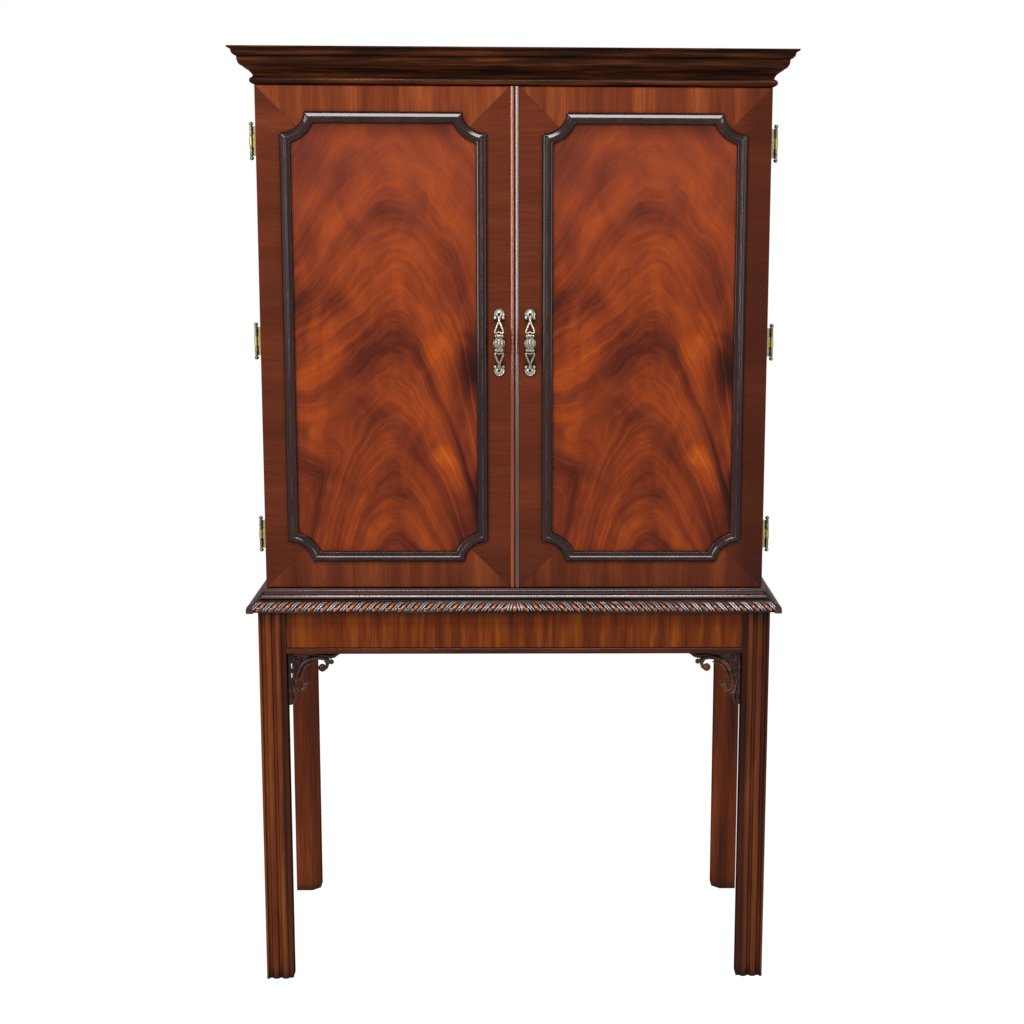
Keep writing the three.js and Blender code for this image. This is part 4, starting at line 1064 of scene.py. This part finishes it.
def gadroon_row(kind, ridges, middle_ridges):
    """One kind of ridge: on the front edge it leans towards the middle, on the right side forwards."""
    unit = join(f"{kind}_unit", [carving(kind, start, -GADROON_LEAN, sizes) for start, sizes in ridges])
    front_room = HALF_STAND + EDGE_OVERHANG - CORNER_LEAF
    side_room = STAND_BACK - STAND_FRONT + EDGE_OVERHANG - CORNER_LEAF - GADROON_LEAN
    count = int(front_room / GADROON_ROOM)
    pitch = front_room / (count + END_ROOM)

    def row(name, steps):
        return join(name, [copy_of(unit, kind, (index * pitch, 0, 0)) for index in steps])

    right_half = row(f"front_right_{kind}s", range(1, count + 1))
    left_half = copy_of(right_half, f"front_left_{kind}s", mirrored=True)
    middle = [carving(f"middle_{kind}", start, lean, sizes) for start, lean, sizes in middle_ridges]
    front = join(f"front_{kind}s", [right_half, left_half, *middle])
    side = row(f"right_{kind}s", range(int(side_room / pitch)))
    side.location.y = -STAND_FRONT
    settle(side)
    side.rotation_euler.z = math.pi / 2
    side.location = (HALF_STAND, STAND_FRONT - EDGE_OVERHANG + CORNER_LEAF + GADROON_LEAN, 0)
    discard(unit)
    return front, settle(side)


def gadroon_edge():
    """The carved edge: its ground, plain leaves at the corners, leaning lobes and pairs of thin tongues."""
    for place, piece in edge_pieces("gadroon_ground", EDGE_FOOT_INSET, GADROON_SINK).items():
        finish(piece, "case_and_stand", GROUND_WOOD, "carved_moulding", f"{place}_gadroon_edge")
    full = edge_pieces("corner", 0, 0)
    corner_line = HALF_STAND + EDGE_OVERHANG - CORNER_LEAF
    leaves = []
    for name, sign in SIDES.items():
        leaf = copy_of(full["front"], f"{name}_corner_leaf")
        leaves.append(cut(leaf, (sign * corner_line, 0, 0), (-sign, 0, 0)))
    side_leaf = cut(full["right"], (0, STAND_FRONT - EDGE_OVERHANG + CORNER_LEAF, 0), (0, 1, 0))
    discard(full["front"], full["left"])
    front_lobes, side_lobes = gadroon_row("lobe", [(0, LOBE_SIZES)], [(0, 0, LOBE_SIZES)])
    middle_tongues = []
    for side in SIDES.values():
        near, far = (side * offset for offset in TONGUE_OFFSETS)
        middle_tongues += [(start, -near * MIDDLE_LEAN, TONGUE_SIZES) for start in (near, far)]
    tongues = [(offset, TONGUE_SIZES) for offset in TONGUE_OFFSETS]
    front_tongues, side_tongues = gadroon_row("tongue", tongues, middle_tongues)
    leaves += [side_leaf, copy_of(side_leaf, "left_side_leaf", mirrored=True)]
    corners = join("corner_leaves", leaves)
    for piece, material in (
        (corners, SHADED_SIDE_CARVING),
        (front_lobes, CARVED_WOOD),
        (side_lobes, SHADED_SIDE_CARVING),
        (copy_of(side_lobes, "left_lobes", mirrored=True), SHADED_SIDE_CARVING),
        (front_tongues, TONGUE_HIGHLIGHT_WOOD),
        (side_tongues, SHADED_SIDE_CARVING),
        (copy_of(side_tongues, "left_tongues", mirrored=True), SHADED_SIDE_CARVING),
    ):
        finish(smooth(piece, ARRIS_ANGLE), "case_and_stand", material, "carved_moulding")


# Case: waist moulding and cornice
WAIST_LAP = 0.012
WAIST_TOP_ROOM = 0.001
# The waist moulding's section from the base up: how far each point stands out, and its height
WAIST_SECTION = metres((
    (6.5, 0), (8.8, 0.6), (10.2, 2.2), (10.6, 4.4), (10.4, 5.8), (8.5, 8.6), (7.4, 9.6), (6, 10.2),
    (4.2, 10.8), (3.6, 12.8), (4.2, 15), (6.2, 15.6), (7.4, 16.4), (7.8, 17.4), (7.6, 18.6), (6.8, 19.8),
    (5.6, 20.4),
))
# The cornice's members from the base up: the shape of each, and how far out and how high it ends
CORNICE_MEMBERS = (
    ("bead", 0.008, 0.014), ("flat", 0.002, 0.014), ("flat", 0.002, 0.017), ("flat", 0.0032, 0.0192),
    ("flat", 0.0052, 0.0218), ("flat", 0.0082, 0.0246), ("flat", 0.0120, 0.0272), ("flat", 0.0155, 0.0294),
    ("flat", 0.0178, 0.0316), ("flat", 0.0190, 0.0330), ("level", 0.0285, 0.049), ("flat", 0.0285, 0.051),
    ("level", 0.038, 0.062), ("upright", 0.044, 0.066),
)


def waist_outline():
    base, top = WAIST_LOW.z, WAIST_HIGH.z
    section = [(out, base + up) for out, up in WAIST_SECTION if base + up < top - WAIST_TOP_ROOM]
    return [(-WAIST_LAP, base), *section, (section[-1][0], top), (-WAIST_LAP, top)]


def cornice_outline():
    """Each member follows from the one before it. A round one leaves that one's end level or upright."""
    base, top = CORNICE_LOW.z, CORNICE_HIGH.z
    reach = DOOR_FACE - CORNICE_LOW.y
    points = [(-reach, base), (0, base)]
    for shape, out, up in CORNICE_MEMBERS:
        if shape == "bead":
            points += swelling(points[-1], base + up, out)
        elif shape == "flat":
            points.append((out, base + up))
        else:
            points += quarter(points[-1], (out, base + up), shape == "level")
    return [*points, (reach, points[-1][1]), (reach, top), (-reach, top)]


def case_mouldings():
    for name, node, outline, woods in (
        ("waist_beaded", "waist_moulding", waist_outline(), WAIST_WOOD),
        ("cornice_moulded", "cornice", cornice_outline(), CORNICE_WOOD),
    ):
        for place, piece in three_sided(name, outline, HALF_CASE, DOOR_FACE, CASE_BACK).items():
            wood_cut = woods["X" if place == "front" else "Y"]
            finish(piece, "case_and_stand", wood_cut, "carved_moulding", f"{place}_{node}")


def case_boards():
    """The boards of the case, and what stands or hangs in it."""
    for node, material, slot in (
        ("case_left_side", CASE_VENEER, "case_veneer"),
        ("case_right_side", CASE_VENEER, "case_veneer"),
        ("case_bottom", INTERIOR_WOOD, "interior_wood"),
        ("case_top", INTERIOR_WOOD, "interior_wood"),
        ("case_divider", INTERIOR_UPRIGHT, "interior_wood"),
        ("back_panel", BACKING["Z"], "backing_board"),
        ("top_board", BACKING["X"], "backing_board"),
        ("right_shelf", INTERIOR_WOOD, "interior_wood"),
        ("bar_deck", INTERIOR_WOOD, "interior_wood"),
        ("stemware_rack", INTERIOR_WOOD, "interior_wood"),
        ("bottle_rack", INTERIOR_WOOD, "interior_wood"),
    ):
        finish_node(node, "case_and_stand", material, slot)
    finish_node("glass_shelf", "case_and_stand", GLASS, "shelf_glass", 0.0012, 3)
    finish_node("back_mirror", "case_and_stand", MIRROR, "mirror_glass", 0.0015, 3)


# Doors
FRAME_REACH = 0.048
FRAME_DROP = 0.041
FRAME_ARC_STEPS = 12
# The section of the frame moulding: inwards from its outer edge, and how proud it stands
FRAME_SECTION = metres((
    (0, 0), (0, 3), (1, 4.6), (2.6, 6.2), (4.4, 6.9), (8.8, 8.4), (9.4, 8.8), (10, 8.8), (10.4, 8.5),
    (12.2, 7.3), (12.8, 7.1), (16, 6.6), (19.2, 5.9), (20.4, 4.6), (21, 2.2), (21, 0),
))
FRAME_WIDTH = FRAME_SECTION[-1][0]
PANEL_OFFSET = 0.008
RECESS_GAP = 0.0003
PANEL_THICKNESS = 0.003
SLAB_ARRIS = 0.0006
# Half of the section of the bead on the meeting edge: shares of its width and of how proud it stands
MEETING_BEAD = ((0, 0), (0.04, 0.40), (0.14, 0.62), (0.44, 0.99), (0.50, 1.0))
# How dark the painted shade along each door's outer stile is.
OUTER_SHADE = {"left": 0.05, "right": 0.5}
BAND_SEED = 10.0


def frame_outline(offset):
    """The outline of the right door's frame moulding, moved inwards by an offset: its corners are cut in."""
    x0, x1 = MOULD_LOW.x + offset, MOULD_HIGH.x - offset
    z0, z1 = MOULD_LOW.z + offset, MOULD_HIGH.z - offset
    reach, drop = FRAME_REACH + offset, FRAME_DROP + offset
    first, last = math.asin(offset / reach), math.acos(offset / drop)
    arc = []
    for index in range(FRAME_ARC_STEPS + 1):
        angle = first + (last - first) * index / FRAME_ARC_STEPS
        arc.append((reach * math.sin(angle) - offset, drop * math.cos(angle) - offset))
    back = arc[::-1]
    return [
        *((x0 + u, z0 + v) for u, v in arc),
        *((x1 - u, z0 + v) for u, v in back),
        *((x1 - u, z1 - v) for u, v in arc),
        *((x0 + u, z1 - v) for u, v in back),
    ]


def frame_moulding():
    """Rings drawn one inside the other, and bridged one to the next."""
    bpy.ops.mesh.primitive_plane_add(size=FRAME_WIDTH, location=(0, DOOR_FACE, MOULD_LOW.z))
    piece = named("right_door_frame_run")
    edit()
    bpy.ops.mesh.delete(type="VERT")
    for inward, proud in FRAME_SECTION:
        ring = [Vector((x, DOOR_FACE - proud, z)) for x, z in frame_outline(inward)]
        bpy.ops.mesh.primitive_plane_add(size=FRAME_WIDTH, location=ring[0])
        draw_points(ring)
        bpy.ops.mesh.select_linked()
        bpy.ops.mesh.edge_face_add()
        bpy.ops.mesh.delete(type="ONLY_FACE")
    for row in range(len(FRAME_SECTION)):
        bpy.ops.mesh.select_all(action="DESELECT")
        mesh = bmesh.from_edit_mesh(piece.data)
        mesh.verts.index_update()
        wanted = {row, (row + 1) % len(FRAME_SECTION)}
        for edge in mesh.edges:
            rows = {vertex.index // len(ring) for vertex in edge.verts}
            if len(rows) == 1 and rows <= wanted:
                edge.select_set(True)
        bmesh.update_edit_mesh(piece.data)
        bpy.ops.mesh.bridge_edge_loops()
    return smooth(closed(piece), ARRIS_ANGLE)


def door_slab():
    """A board with eased arrises and a recess for the flame panel."""
    piece = board("right_door_board", SLAB_LOW, SLAB_HIGH, SLAB_ARRIS)
    outline = frame_outline(PANEL_OFFSET - RECESS_GAP)
    depth = Vector((0, 2 * PANEL_THICKNESS + RECESS_GAP, 0))
    cut_out(piece, prism("panel_recess", [(x, DOOR_FACE - PANEL_THICKNESS, z) for x, z in outline], depth))
    return smooth(piece)


def meeting_bead():
    """A bead with a low roof: two flats that meet in a rounded crest."""
    width, proud = BEAD_HIGH.x - BEAD_LOW.x, DOOR_FACE - BEAD_LOW.y
    shares = [*MEETING_BEAD, *((1 - across, rise) for across, rise in reversed(MEETING_BEAD[:-1]))]
    outline = [(BEAD_LOW.x + across * width, DOOR_FACE - rise * proud) for across, rise in shares]
    outline += [(BEAD_HIGH.x, BEAD_HIGH.y), (BEAD_LOW.x, BEAD_HIGH.y)]
    points = [(x, y, BEAD_LOW.z) for x, y in outline]
    return smooth(prism("right_meeting_bead_run", points, Vector((0, 0, BEAD_HIGH.z - BEAD_LOW.z))))


def doors():
    made = (
        (door_slab(), "crossbanded", "slab", "crossband_veneer", SHARP_ANGLE),
        (frame_moulding(), "frame", "frame_moulding", "carved_moulding", ARRIS_ANGLE),
        (meeting_bead(), "bead", "meeting_bead", "carved_moulding", SHARP_ANGLE),
    )
    for side, sign in SIDES.items():
        outer, inner = sign * SLAB_HIGH.x, sign * SLAB_LOW.x
        veneer = crossband(f"{side}_crossband", outer, inner, BAND_SEED + sign, OUTER_SHADE[side])
        woods = {"slab": veneer, "frame_moulding": FRAME_WOOD, "meeting_bead": BEAD_WOODS[side]}
        for source, kind, part, slot, angle in made:
            piece = copy_of(source, f"{side}_door_{kind}", mirrored=sign < 0)
            finish(smooth(piece, angle), f"{side}_door", woods[part], slot, f"{side}_door_{part}")
        panel_node = f"{side}_door_flame_panel"
        panel = frame["nodes"][panel_node]
        panel.data.materials.clear()
        panel.data.materials.append(flame(f"{side}_flame", *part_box(panel_node), "Z", 1.0))
    discard(*(source for source, *_ in made))


# Door hinges, round the middle of the pin of the right door's middle hinge
HINGE_REACH = 0.028
HINGE_LENGTH = 0.057
HINGE_HALF = HINGE_LENGTH / 2
HINGE_GAP = 0.0003
KNUCKLE = 0.0043
END_KNUCKLE = 0.0034
KNUCKLE_RIM = 0.0006
KNUCKLE_STEPS = 20
FINIAL = 0.0043
FINIAL_NECK = 0.0015
PLATE_ARRIS = 0.0004
TAB_ARRIS = 0.0002
PIN_INSET = 0.005  # from the outside of a finial to the middle of the pin


def knuckle(name, centre, low, high, radius):
    """A barrel round the pin, with its two rims eased."""
    rim = KNUCKLE_RIM
    profile = [(low, 0), (low, radius - rim), (low + rim, radius)]
    profile += [(high - rim, radius), (high, radius - rim), (high, 0)]
    return turned(name, profile, centre, (0, 0, 1), KNUCKLE_STEPS)


def hinge_finial(name, centre, end):
    """A ball on a short collar at the end of the pin."""
    foot, collar, middle = HINGE_HALF - FINIAL_NECK, HINGE_HALF + FINIAL_NECK, HINGE_HALF + FINIAL
    profile = [(foot, 0), (foot, END_KNUCKLE * 0.7), (collar, END_KNUCKLE * 0.6)]
    for index in range(2, 8):
        angle = index / 8 * math.pi
        profile.append((middle - FINIAL * math.cos(angle), FINIAL * math.sin(angle)))
    profile.append((middle + FINIAL, 0))
    profile = [(end * along, radius) for along, radius in profile]
    return turned(name, profile, centre, (0, 0, 1), KNUCKLE_STEPS)


def hinge_plate(name, centre, front, back, spans):
    """A leaf with a tab to each of its knuckles."""
    inner = centre.x - KNUCKLE - 2 * HINGE_GAP
    low, high = (centre.x - HINGE_REACH, front, centre.z - HINGE_HALF), (inner, back, centre.z + HINGE_HALF)
    pieces = [board(name, low, high, PLATE_ARRIS)]
    for foot, top in spans:
        tab_low, tab_high = (inner - HINGE_GAP, front, centre.z + foot), (centre.x, back, centre.z + top)
        pieces.append(board("tab", tab_low, tab_high, TAB_ARRIS))
    return pieces


def hinges():
    """Three hinges a door, all from one pair of leaves."""
    pin_low, pin_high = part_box("right_middle_hinge_case_leaf")
    centre = Vector((pin_high.x - PIN_INSET, pin_low.y + PIN_INSET, (pin_low.z + pin_high.z) / 2))
    third = HINGE_LENGTH / 6
    end_spans = [(-HINGE_HALF, -third - HINGE_GAP), (third + HINGE_GAP, HINGE_HALF)]
    case_front, door_back = centre.y + HINGE_GAP / 2, centre.y - HINGE_GAP / 2
    case_pieces = hinge_plate("case_plate", centre, case_front, case_front + HINGE_LEAF, end_spans)
    case_pieces += [knuckle("end_knuckle", centre, low, high, END_KNUCKLE) for low, high in end_spans]
    case_pieces += [hinge_finial("finial", centre, end) for end in (-1, 1)]
    case_leaf = join("hinge_case_leaf_made", case_pieces)
    door_pieces = hinge_plate("door_plate", centre, door_back - HINGE_LEAF, door_back, [(-third, third)])
    door_pieces.append(knuckle("middle_knuckle", centre, -third, third, KNUCKLE))
    door_leaf = join("hinge_door_leaf_made", door_pieces)
    for side, ending in (("left", "brass_cast"), ("right", "brass")):
        for level in ("lower", "middle", "upper"):
            low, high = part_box(f"right_{level}_hinge_case_leaf")
            shift = (0, 0, (low.z + high.z) / 2 - centre.z)
            for leaf, source, body, material in (
                ("case_leaf", case_leaf, "case_and_stand", SHADED_HINGE_BRASS),
                ("door_leaf", door_leaf, f"{side}_door", HINGE_BRASS),
            ):
                piece = copy_of(source, f"{side}_{level}_{leaf}_{ending}", shift, side == "left")
                finish(smooth(piece), body, material, "cast_brass", f"{side}_{level}_hinge_{leaf}")
    discard(case_leaf, door_leaf)


# Pulls
PULL_STAND_OFF = 0.017
PULL_BOSS = 0.0116
PULL_BOSS_HEIGHT = 0.006
PULL_FLATNESS = 0.52
PULL_ANGLE = 60
# A boss: height off the door, and share of its radius
BOSS_RINGS = (
    (0, 0), (0, 1), (0.0024, 0.98), (0.0040, 0.86), (0.0034, 0.72), (0.0050, 0.56), (0.0060, 0.38),
    (0.0056, 0.24), (0.0022, 0.16), (0.0022, 0),
)
BOSS_INNER = 0.62  # where its ears stand, as a share of its radius
# The balls on a boss: name, across, off the door, towards the grip, and half width, depth and height
BOSS_BALLS = (
    ("boss_ear", -0.0080, 0.0034, 0, (0.0036, 0.0034, 0.0040)),
    ("boss_ear", 0.0080, 0.0034, 0, (0.0036, 0.0034, 0.0040)),
    ("boss_tongue", 0, 0.0052, 0.0010, (0.0036, 0.0034, 0.0050)),
)
# The grip's outline: up from its middle, and half width
GRIP_PROFILE = metres((
    (-17.8, 0), (-17.8, 4), (-17, 7.8), (-15, 9.6), (-12.8, 9.6), (-11.2, 8), (-10.4, 7.2), (-9.4, 7.8),
    (-7.8, 9.8), (-4, 11.2), (1, 11.3), (5, 10.2), (8, 8.2), (9.2, 7.2), (10.4, 7.4), (12.4, 9.4), (15, 10),
    (16.8, 8.6), (17.8, 4.6), (17.8, 0),
))
GRIP_BULGE, GRIP_END = 0.0113, 0.0096  # its half width across the middle and near its ends
# Balls cast on the grip: across, up, and half width, depth and height
GRIP_RELIEF = metres((
    (0, 0.6, 3, 2.2, 8), (5.8, 0, 2.2, 2, 7.4), (9.8, -0.2, 1.6, 1.8, 6), (0, 14, 2.8, 2.4, 3.4),
    (6.4, 14.2, 2.6, 2.2, 3), (0, -14.2, 2.2, 2, 3), (6.2, -14.2, 2.8, 2.2, 2.8), (3.6, 9.8, 2, 1.8, 1.4),
    (3.6, -10, 2, 1.8, 1.4),
))
# Half of the heart between the grip and a boss: across and up, as shares of its half width and height
HEART_SHARES = (
    (0, 1), (0.30, 0.76), (0.62, 0.48), (0.90, 0.24), (1.0, 0.09), (0.84, -0.02), (0.50, -0.03),
    (0.22, 0.04), (0, 0.09),
)
HEART_HALF = 0.0085
HEART_ROD = 0.0022
HEART_GAP = 0.0012
HEART_DIP = 0.8  # how far its tip comes down to the boss
# The neck between a heart and its boss: off the boss, along the pull, and half width
NECK = metres(((2.6, -1, 3.6), (1.4, 1.5, 2.9), (0.2, 4.5, 3.6)))


def on_pull(across, off, up):
    """A point of the right pull, from its place across, off the door and up."""
    middle = (PULL_LOW + PULL_HIGH) / 2
    return Vector((middle.x + across, DOOR_FACE - off, middle.z + up))


def pull_boss(end, middle):
    """A round boss with a stepped face, ears and a tongue towards the grip."""
    profile = [(height, radius * PULL_BOSS) for height, radius in BOSS_RINGS]
    pieces = [turned("boss", profile, on_pull(0, 0, end * middle), (0, -1, 0), 28)]
    inner = middle - PULL_BOSS * BOSS_INNER
    for name, across, off, back, radii in BOSS_BALLS:
        place = on_pull(across, off, end * (inner - back))
        pieces.append(ball(name, place, radii))
    return pieces


def pull_pieces():
    """The pieces of one cast pull: two bosses, two open hearts and a moulded grip with balls on it."""
    middle = (PULL_HIGH.z - PULL_LOW.z) / 2 - PULL_BOSS
    heart_base, heart_top = GRIP_PROFILE[-1][0] + HEART_ROD, middle - PULL_BOSS - HEART_GAP
    length = heart_top - heart_base
    shares = [*HEART_SHARES, *((-across, up) for across, up in reversed(HEART_SHARES[:-1]))]
    pieces = []
    for end in (-1, 1):
        pieces += pull_boss(end, middle)
        path = []
        for across, up in shares:
            off = PULL_STAND_OFF + (PULL_BOSS_HEIGHT - PULL_STAND_OFF) * max(up, 0) * HEART_DIP
            path.append(on_pull(across * HEART_HALF, off, end * (heart_base + up * length)))
        pieces.append(sweep("heart", path, [HEART_ROD] * len(path), "Y", sides=8))
        neck = [on_pull(0, PULL_BOSS_HEIGHT + rise, end * (heart_top + along)) for rise, along, _ in NECK]
        pieces.append(sweep("neck", neck, [size for _, _, size in NECK], "Y"))
    grip = turned("grip", GRIP_PROFILE, on_pull(0, PULL_STAND_OFF, 0), (0, 0, 1))
    grip.scale.y = PULL_FLATNESS
    grip.location.y = on_pull(0, PULL_STAND_OFF, 0).y * (1 - PULL_FLATNESS)
    pieces.append(settle(grip))
    for across, up, *radii in GRIP_RELIEF:
        bulge = GRIP_BULGE if abs(up) < PULL_BOSS_HEIGHT else GRIP_END
        off = PULL_STAND_OFF + PULL_FLATNESS * math.sqrt(bulge**2 - across**2)
        for side in SIDES.values() if across else (1,):
            pieces.append(ball("grip_relief", on_pull(side * across, off, up), radii))
    return pieces


def pulls():
    right = join("right_pull_cast", pull_pieces())
    left = copy_of(right, "left_pull_cast", (-(PULL_LOW + PULL_HIGH).x, 0, 0))
    for side, piece in (("right", right), ("left", left)):
        finish(smooth(piece, PULL_ANGLE), f"{side}_door", PEWTER_BRASS, "cast_brass", f"{side}_pull")


# Brackets: pierced scrolls, drawn across from the leg and down from the apron
BRACKET_LOW, BRACKET_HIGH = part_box("right_bracket")
BRACKET_PLATE = 0.008
BRACKET_DEPTH = 0.0075  # from the frame's face to the middle of the scrolls
BRACKET_ARRIS = 0.0008
BRACKET_ANGLE = 45
PLATE_OUTLINE = metres((
    (0, 0), (110, 0), (104, 4.5), (98, 10), (88, 13), (74, 11), (62, 10), (50, 12), (40, 17), (30, 25),
    (22, 37), (17, 50), (15, 64), (15, 78), (16, 86), (15, 96), (12, 104), (7, 110), (0, 111),
))
PLATE_HOLES = metres((
    ((6, 24), (11, 22), (12, 33), (7, 35)), ((6, 44), (10, 43), (10, 53), (7, 55)),
    ((15, 4.5), (23, 4), (22, 8), (16, 9)), ((26, 6), (31, 5), (31, 11), (27, 12)),
    ((45, 3), (51, 3), (50, 7), (45, 8)),
))
# Each swept scroll, in millimetres: the points it passes, and its half widths from end to end
SCROLLS = {
    "c_scroll": (
        (
            (33, 79.5), (26.5, 81.5), (20.5, 78.5), (17.2, 71), (16.5, 61), (18, 50), (21.2, 40),
            (26.2, 30), (33.5, 21.5), (43, 15), (54, 11), (66, 10), (77, 12.5), (85, 18),
        ),
        (2, 3, 3.8, 4.4, 4.8, 5, 5.2, 5.4, 5.5, 5.4, 5.2, 5, 4.6, 3.8),
    ),
    "upper_curl": (((78, 16), (81.5, 22.5), (80, 30), (75, 34)), (4, 4, 3.8, 3.4)),
    "inner_edge": (
        ((26, 68), (25, 56), (28.5, 42), (36, 30), (48, 21.5), (60, 20)),
        (1.6, 2.4, 2.6, 2.6, 2.2, 1.2),
    ),
    "lower_curl": (((28, 78), (33.5, 74), (37, 69), (40, 65)), (4.2, 4.4, 4, 3.4)),
    "second_curl": (((13, 68), (13.5, 77), (16.5, 85), (23, 88)), (2.6, 3.2, 3.2, 1.8)),
    "leg_leaf": (((8, 62), (11, 76), (13.6, 89), (12.8, 99), (8.5, 108.5)), (2, 3.6, 4.4, 3.6, 1.2)),
    "apron_leaf": (((56, 6), (70, 5), (84, 7), (95, 6), (106, 2.5)), (2.2, 3.4, 4, 3.4, 1.4)),
    "corner_stem": (((4, 4), (12, 14), (16, 26), (13, 39), (6, 40)), (2, 2.8, 3, 2.6, 1.6)),
    "corner_branch": (((6, 3), (17, 13), (27, 17), (38, 12), (40, 5)), (1.8, 2.6, 2.6, 2.4, 1.6)),
}
# Each round eye of a scroll: its place and radius
SCROLL_EYES = metres(((71, 31.5, 8.2), (89.5, 19, 5.4), (42, 62, 3.8), (33, 68, 5.4)))
EYE_DEPTH = 0.88  # as a share of its radius
SCROLL_DEPTH = 1.15  # as a share of a scroll's width


def on_bracket(across, down, off=0.0):
    """A point of the right bracket, from its place across, down and off its middle plane."""
    return Vector((BRACKET_HIGH.x - across, BRACKET_LOW.y + BRACKET_DEPTH - off, BRACKET_HIGH.z - down))


def brackets():
    thickness = Vector((0, BRACKET_PLATE, 0))
    plate = prism("plate", [on_bracket(u, v) for u, v in PLATE_OUTLINE], thickness)
    for hole in PLATE_HOLES:
        cut_out(plate, prism("hole", [on_bracket(u, v, BRACKET_PLATE) for u, v in hole], 3 * thickness))
    pieces = [ease(plate, BRACKET_ARRIS)]
    for name, scroll in SCROLLS.items():
        path, sizes = metres(scroll)
        pieces.append(sweep(name, [on_bracket(u, v) for u, v in path], sizes, "Y", SCROLL_DEPTH, 12))
    for u, v, radius in SCROLL_EYES:
        pieces.append(ball("scroll_eye", on_bracket(u, v), (radius, radius * EYE_DEPTH, radius), 20, 12))
    right = join("right_bracket_carved", pieces)
    left = copy_of(right, "left_bracket_carved", mirrored=True)
    for side, piece in (("right", right), ("left", left)):
        piece = smooth(piece, BRACKET_ANGLE)
        finish(piece, "case_and_stand", BRACKET_WOOD, "carved_moulding", f"{side}_bracket")


def bar():
    """The leaf, its long hinge and its supports."""
    leaf_veneer = flame("leaf_flame", *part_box("fold_out_leaf"), "Y", 5.0)
    finish_node("fold_out_leaf", "leaf", leaf_veneer, "interior_wood", 0.0015, 3)
    finish_node("leaf_hinge_deck_half", "case_and_stand", BAR_BRASS, "cast_brass", 0.0003)
    finish_node("leaf_hinge_leaf_half", "leaf", BAR_BRASS, "cast_brass", 0.0003)
    for place in ("outer", "inner"):
        finish_node(f"{place}_leaf_support", f"{place}_support", INTERIOR_WOOD, "interior_wood", 0.0006)


legs()
aprons()
gadroon_edge()
case_mouldings()
case_boards()
doors()
hinges()
pulls()
brackets()
bar()

# Floor, lights and world
FLOOR_SIZE = 30
FLOOR_SHARE = 0.86  # how much of what is seen of the floor is its own light
FLOOR_LIGHT = 1.14
SKY_LIGHT = 0.3


def pale_floor():
    bpy.ops.mesh.primitive_plane_add(size=FLOOR_SIZE)
    floor = named("floor")
    material, tree = new_material("pale_floor")
    colour = clouded(tree, object_place(tree), (3.0, 4.0), "EDEDED", "F2F2F2")
    shader = add(tree, "BsdfPrincipled", {"Base Color": colour, "Roughness": 0.9, "Specular IOR Level": 0.1})
    white = add(tree, "Emission", {"Color": (1, 1, 1, 1), "Strength": FLOOR_LIGHT})
    share = times(tree, seen_directly(tree), FLOOR_SHARE)
    both = add(tree, "MixShader", {0: share, 1: shader.outputs[0], 2: white.outputs[0]})
    add(tree, "OutputMaterial", {"Surface": both.outputs[0]})
    floor.data.materials.append(material)


def soft_light(name, place, target, size, power, colour=(1, 1, 1)):
    """A light with the shape of a board, turned towards a target."""
    bpy.ops.object.light_add(type="AREA", location=place)
    light = named(name)
    light.data.shape = "RECTANGLE"
    light.data.size, light.data.size_y = size
    light.data.energy = power
    light.data.color = colour
    light.rotation_euler = (Vector(target) - Vector(place)).to_track_quat("-Z", "Y").to_euler()


def studio():
    middle = (0, DOOR_FACE, 1.1)
    soft_light("key_light", (-2.5, -2.7, 1.9), middle, (0.55, 1.8), 62)
    soft_light("fill_light", (2.6, -2.6, 1.8), middle, (0.35, 1.8), 20, (0.93, 0.96, 1.0))
    soft_light("top_light", (0, -1.9, 3.3), (0, DOOR_FACE, 0.9), (1.6, 0.4), 58)
    soft_light("back_light", (0, 2.6, 4.2), (0, 0, 1.0), (2.6, 1.6), 24)
    world = bpy.data.worlds.new("studio")
    bpy.context.scene.world = world
    world.use_nodes = True
    tree = world.node_tree
    tree.nodes.clear()
    sky = add(tree, "Background", {"Color": (1, 1, 1, 1), "Strength": SKY_LIGHT})
    white = add(tree, "Background", {"Color": (1, 1, 1, 1), "Strength": 1.0})
    both = add(tree, "MixShader", {0: seen_directly(tree), 1: sky.outputs[0], 2: white.outputs[0]})
    add(tree, "OutputWorld", {"Surface": both.outputs[0]})
    bpy.context.scene.view_settings.view_transform = "Standard"


pale_floor()
studio()
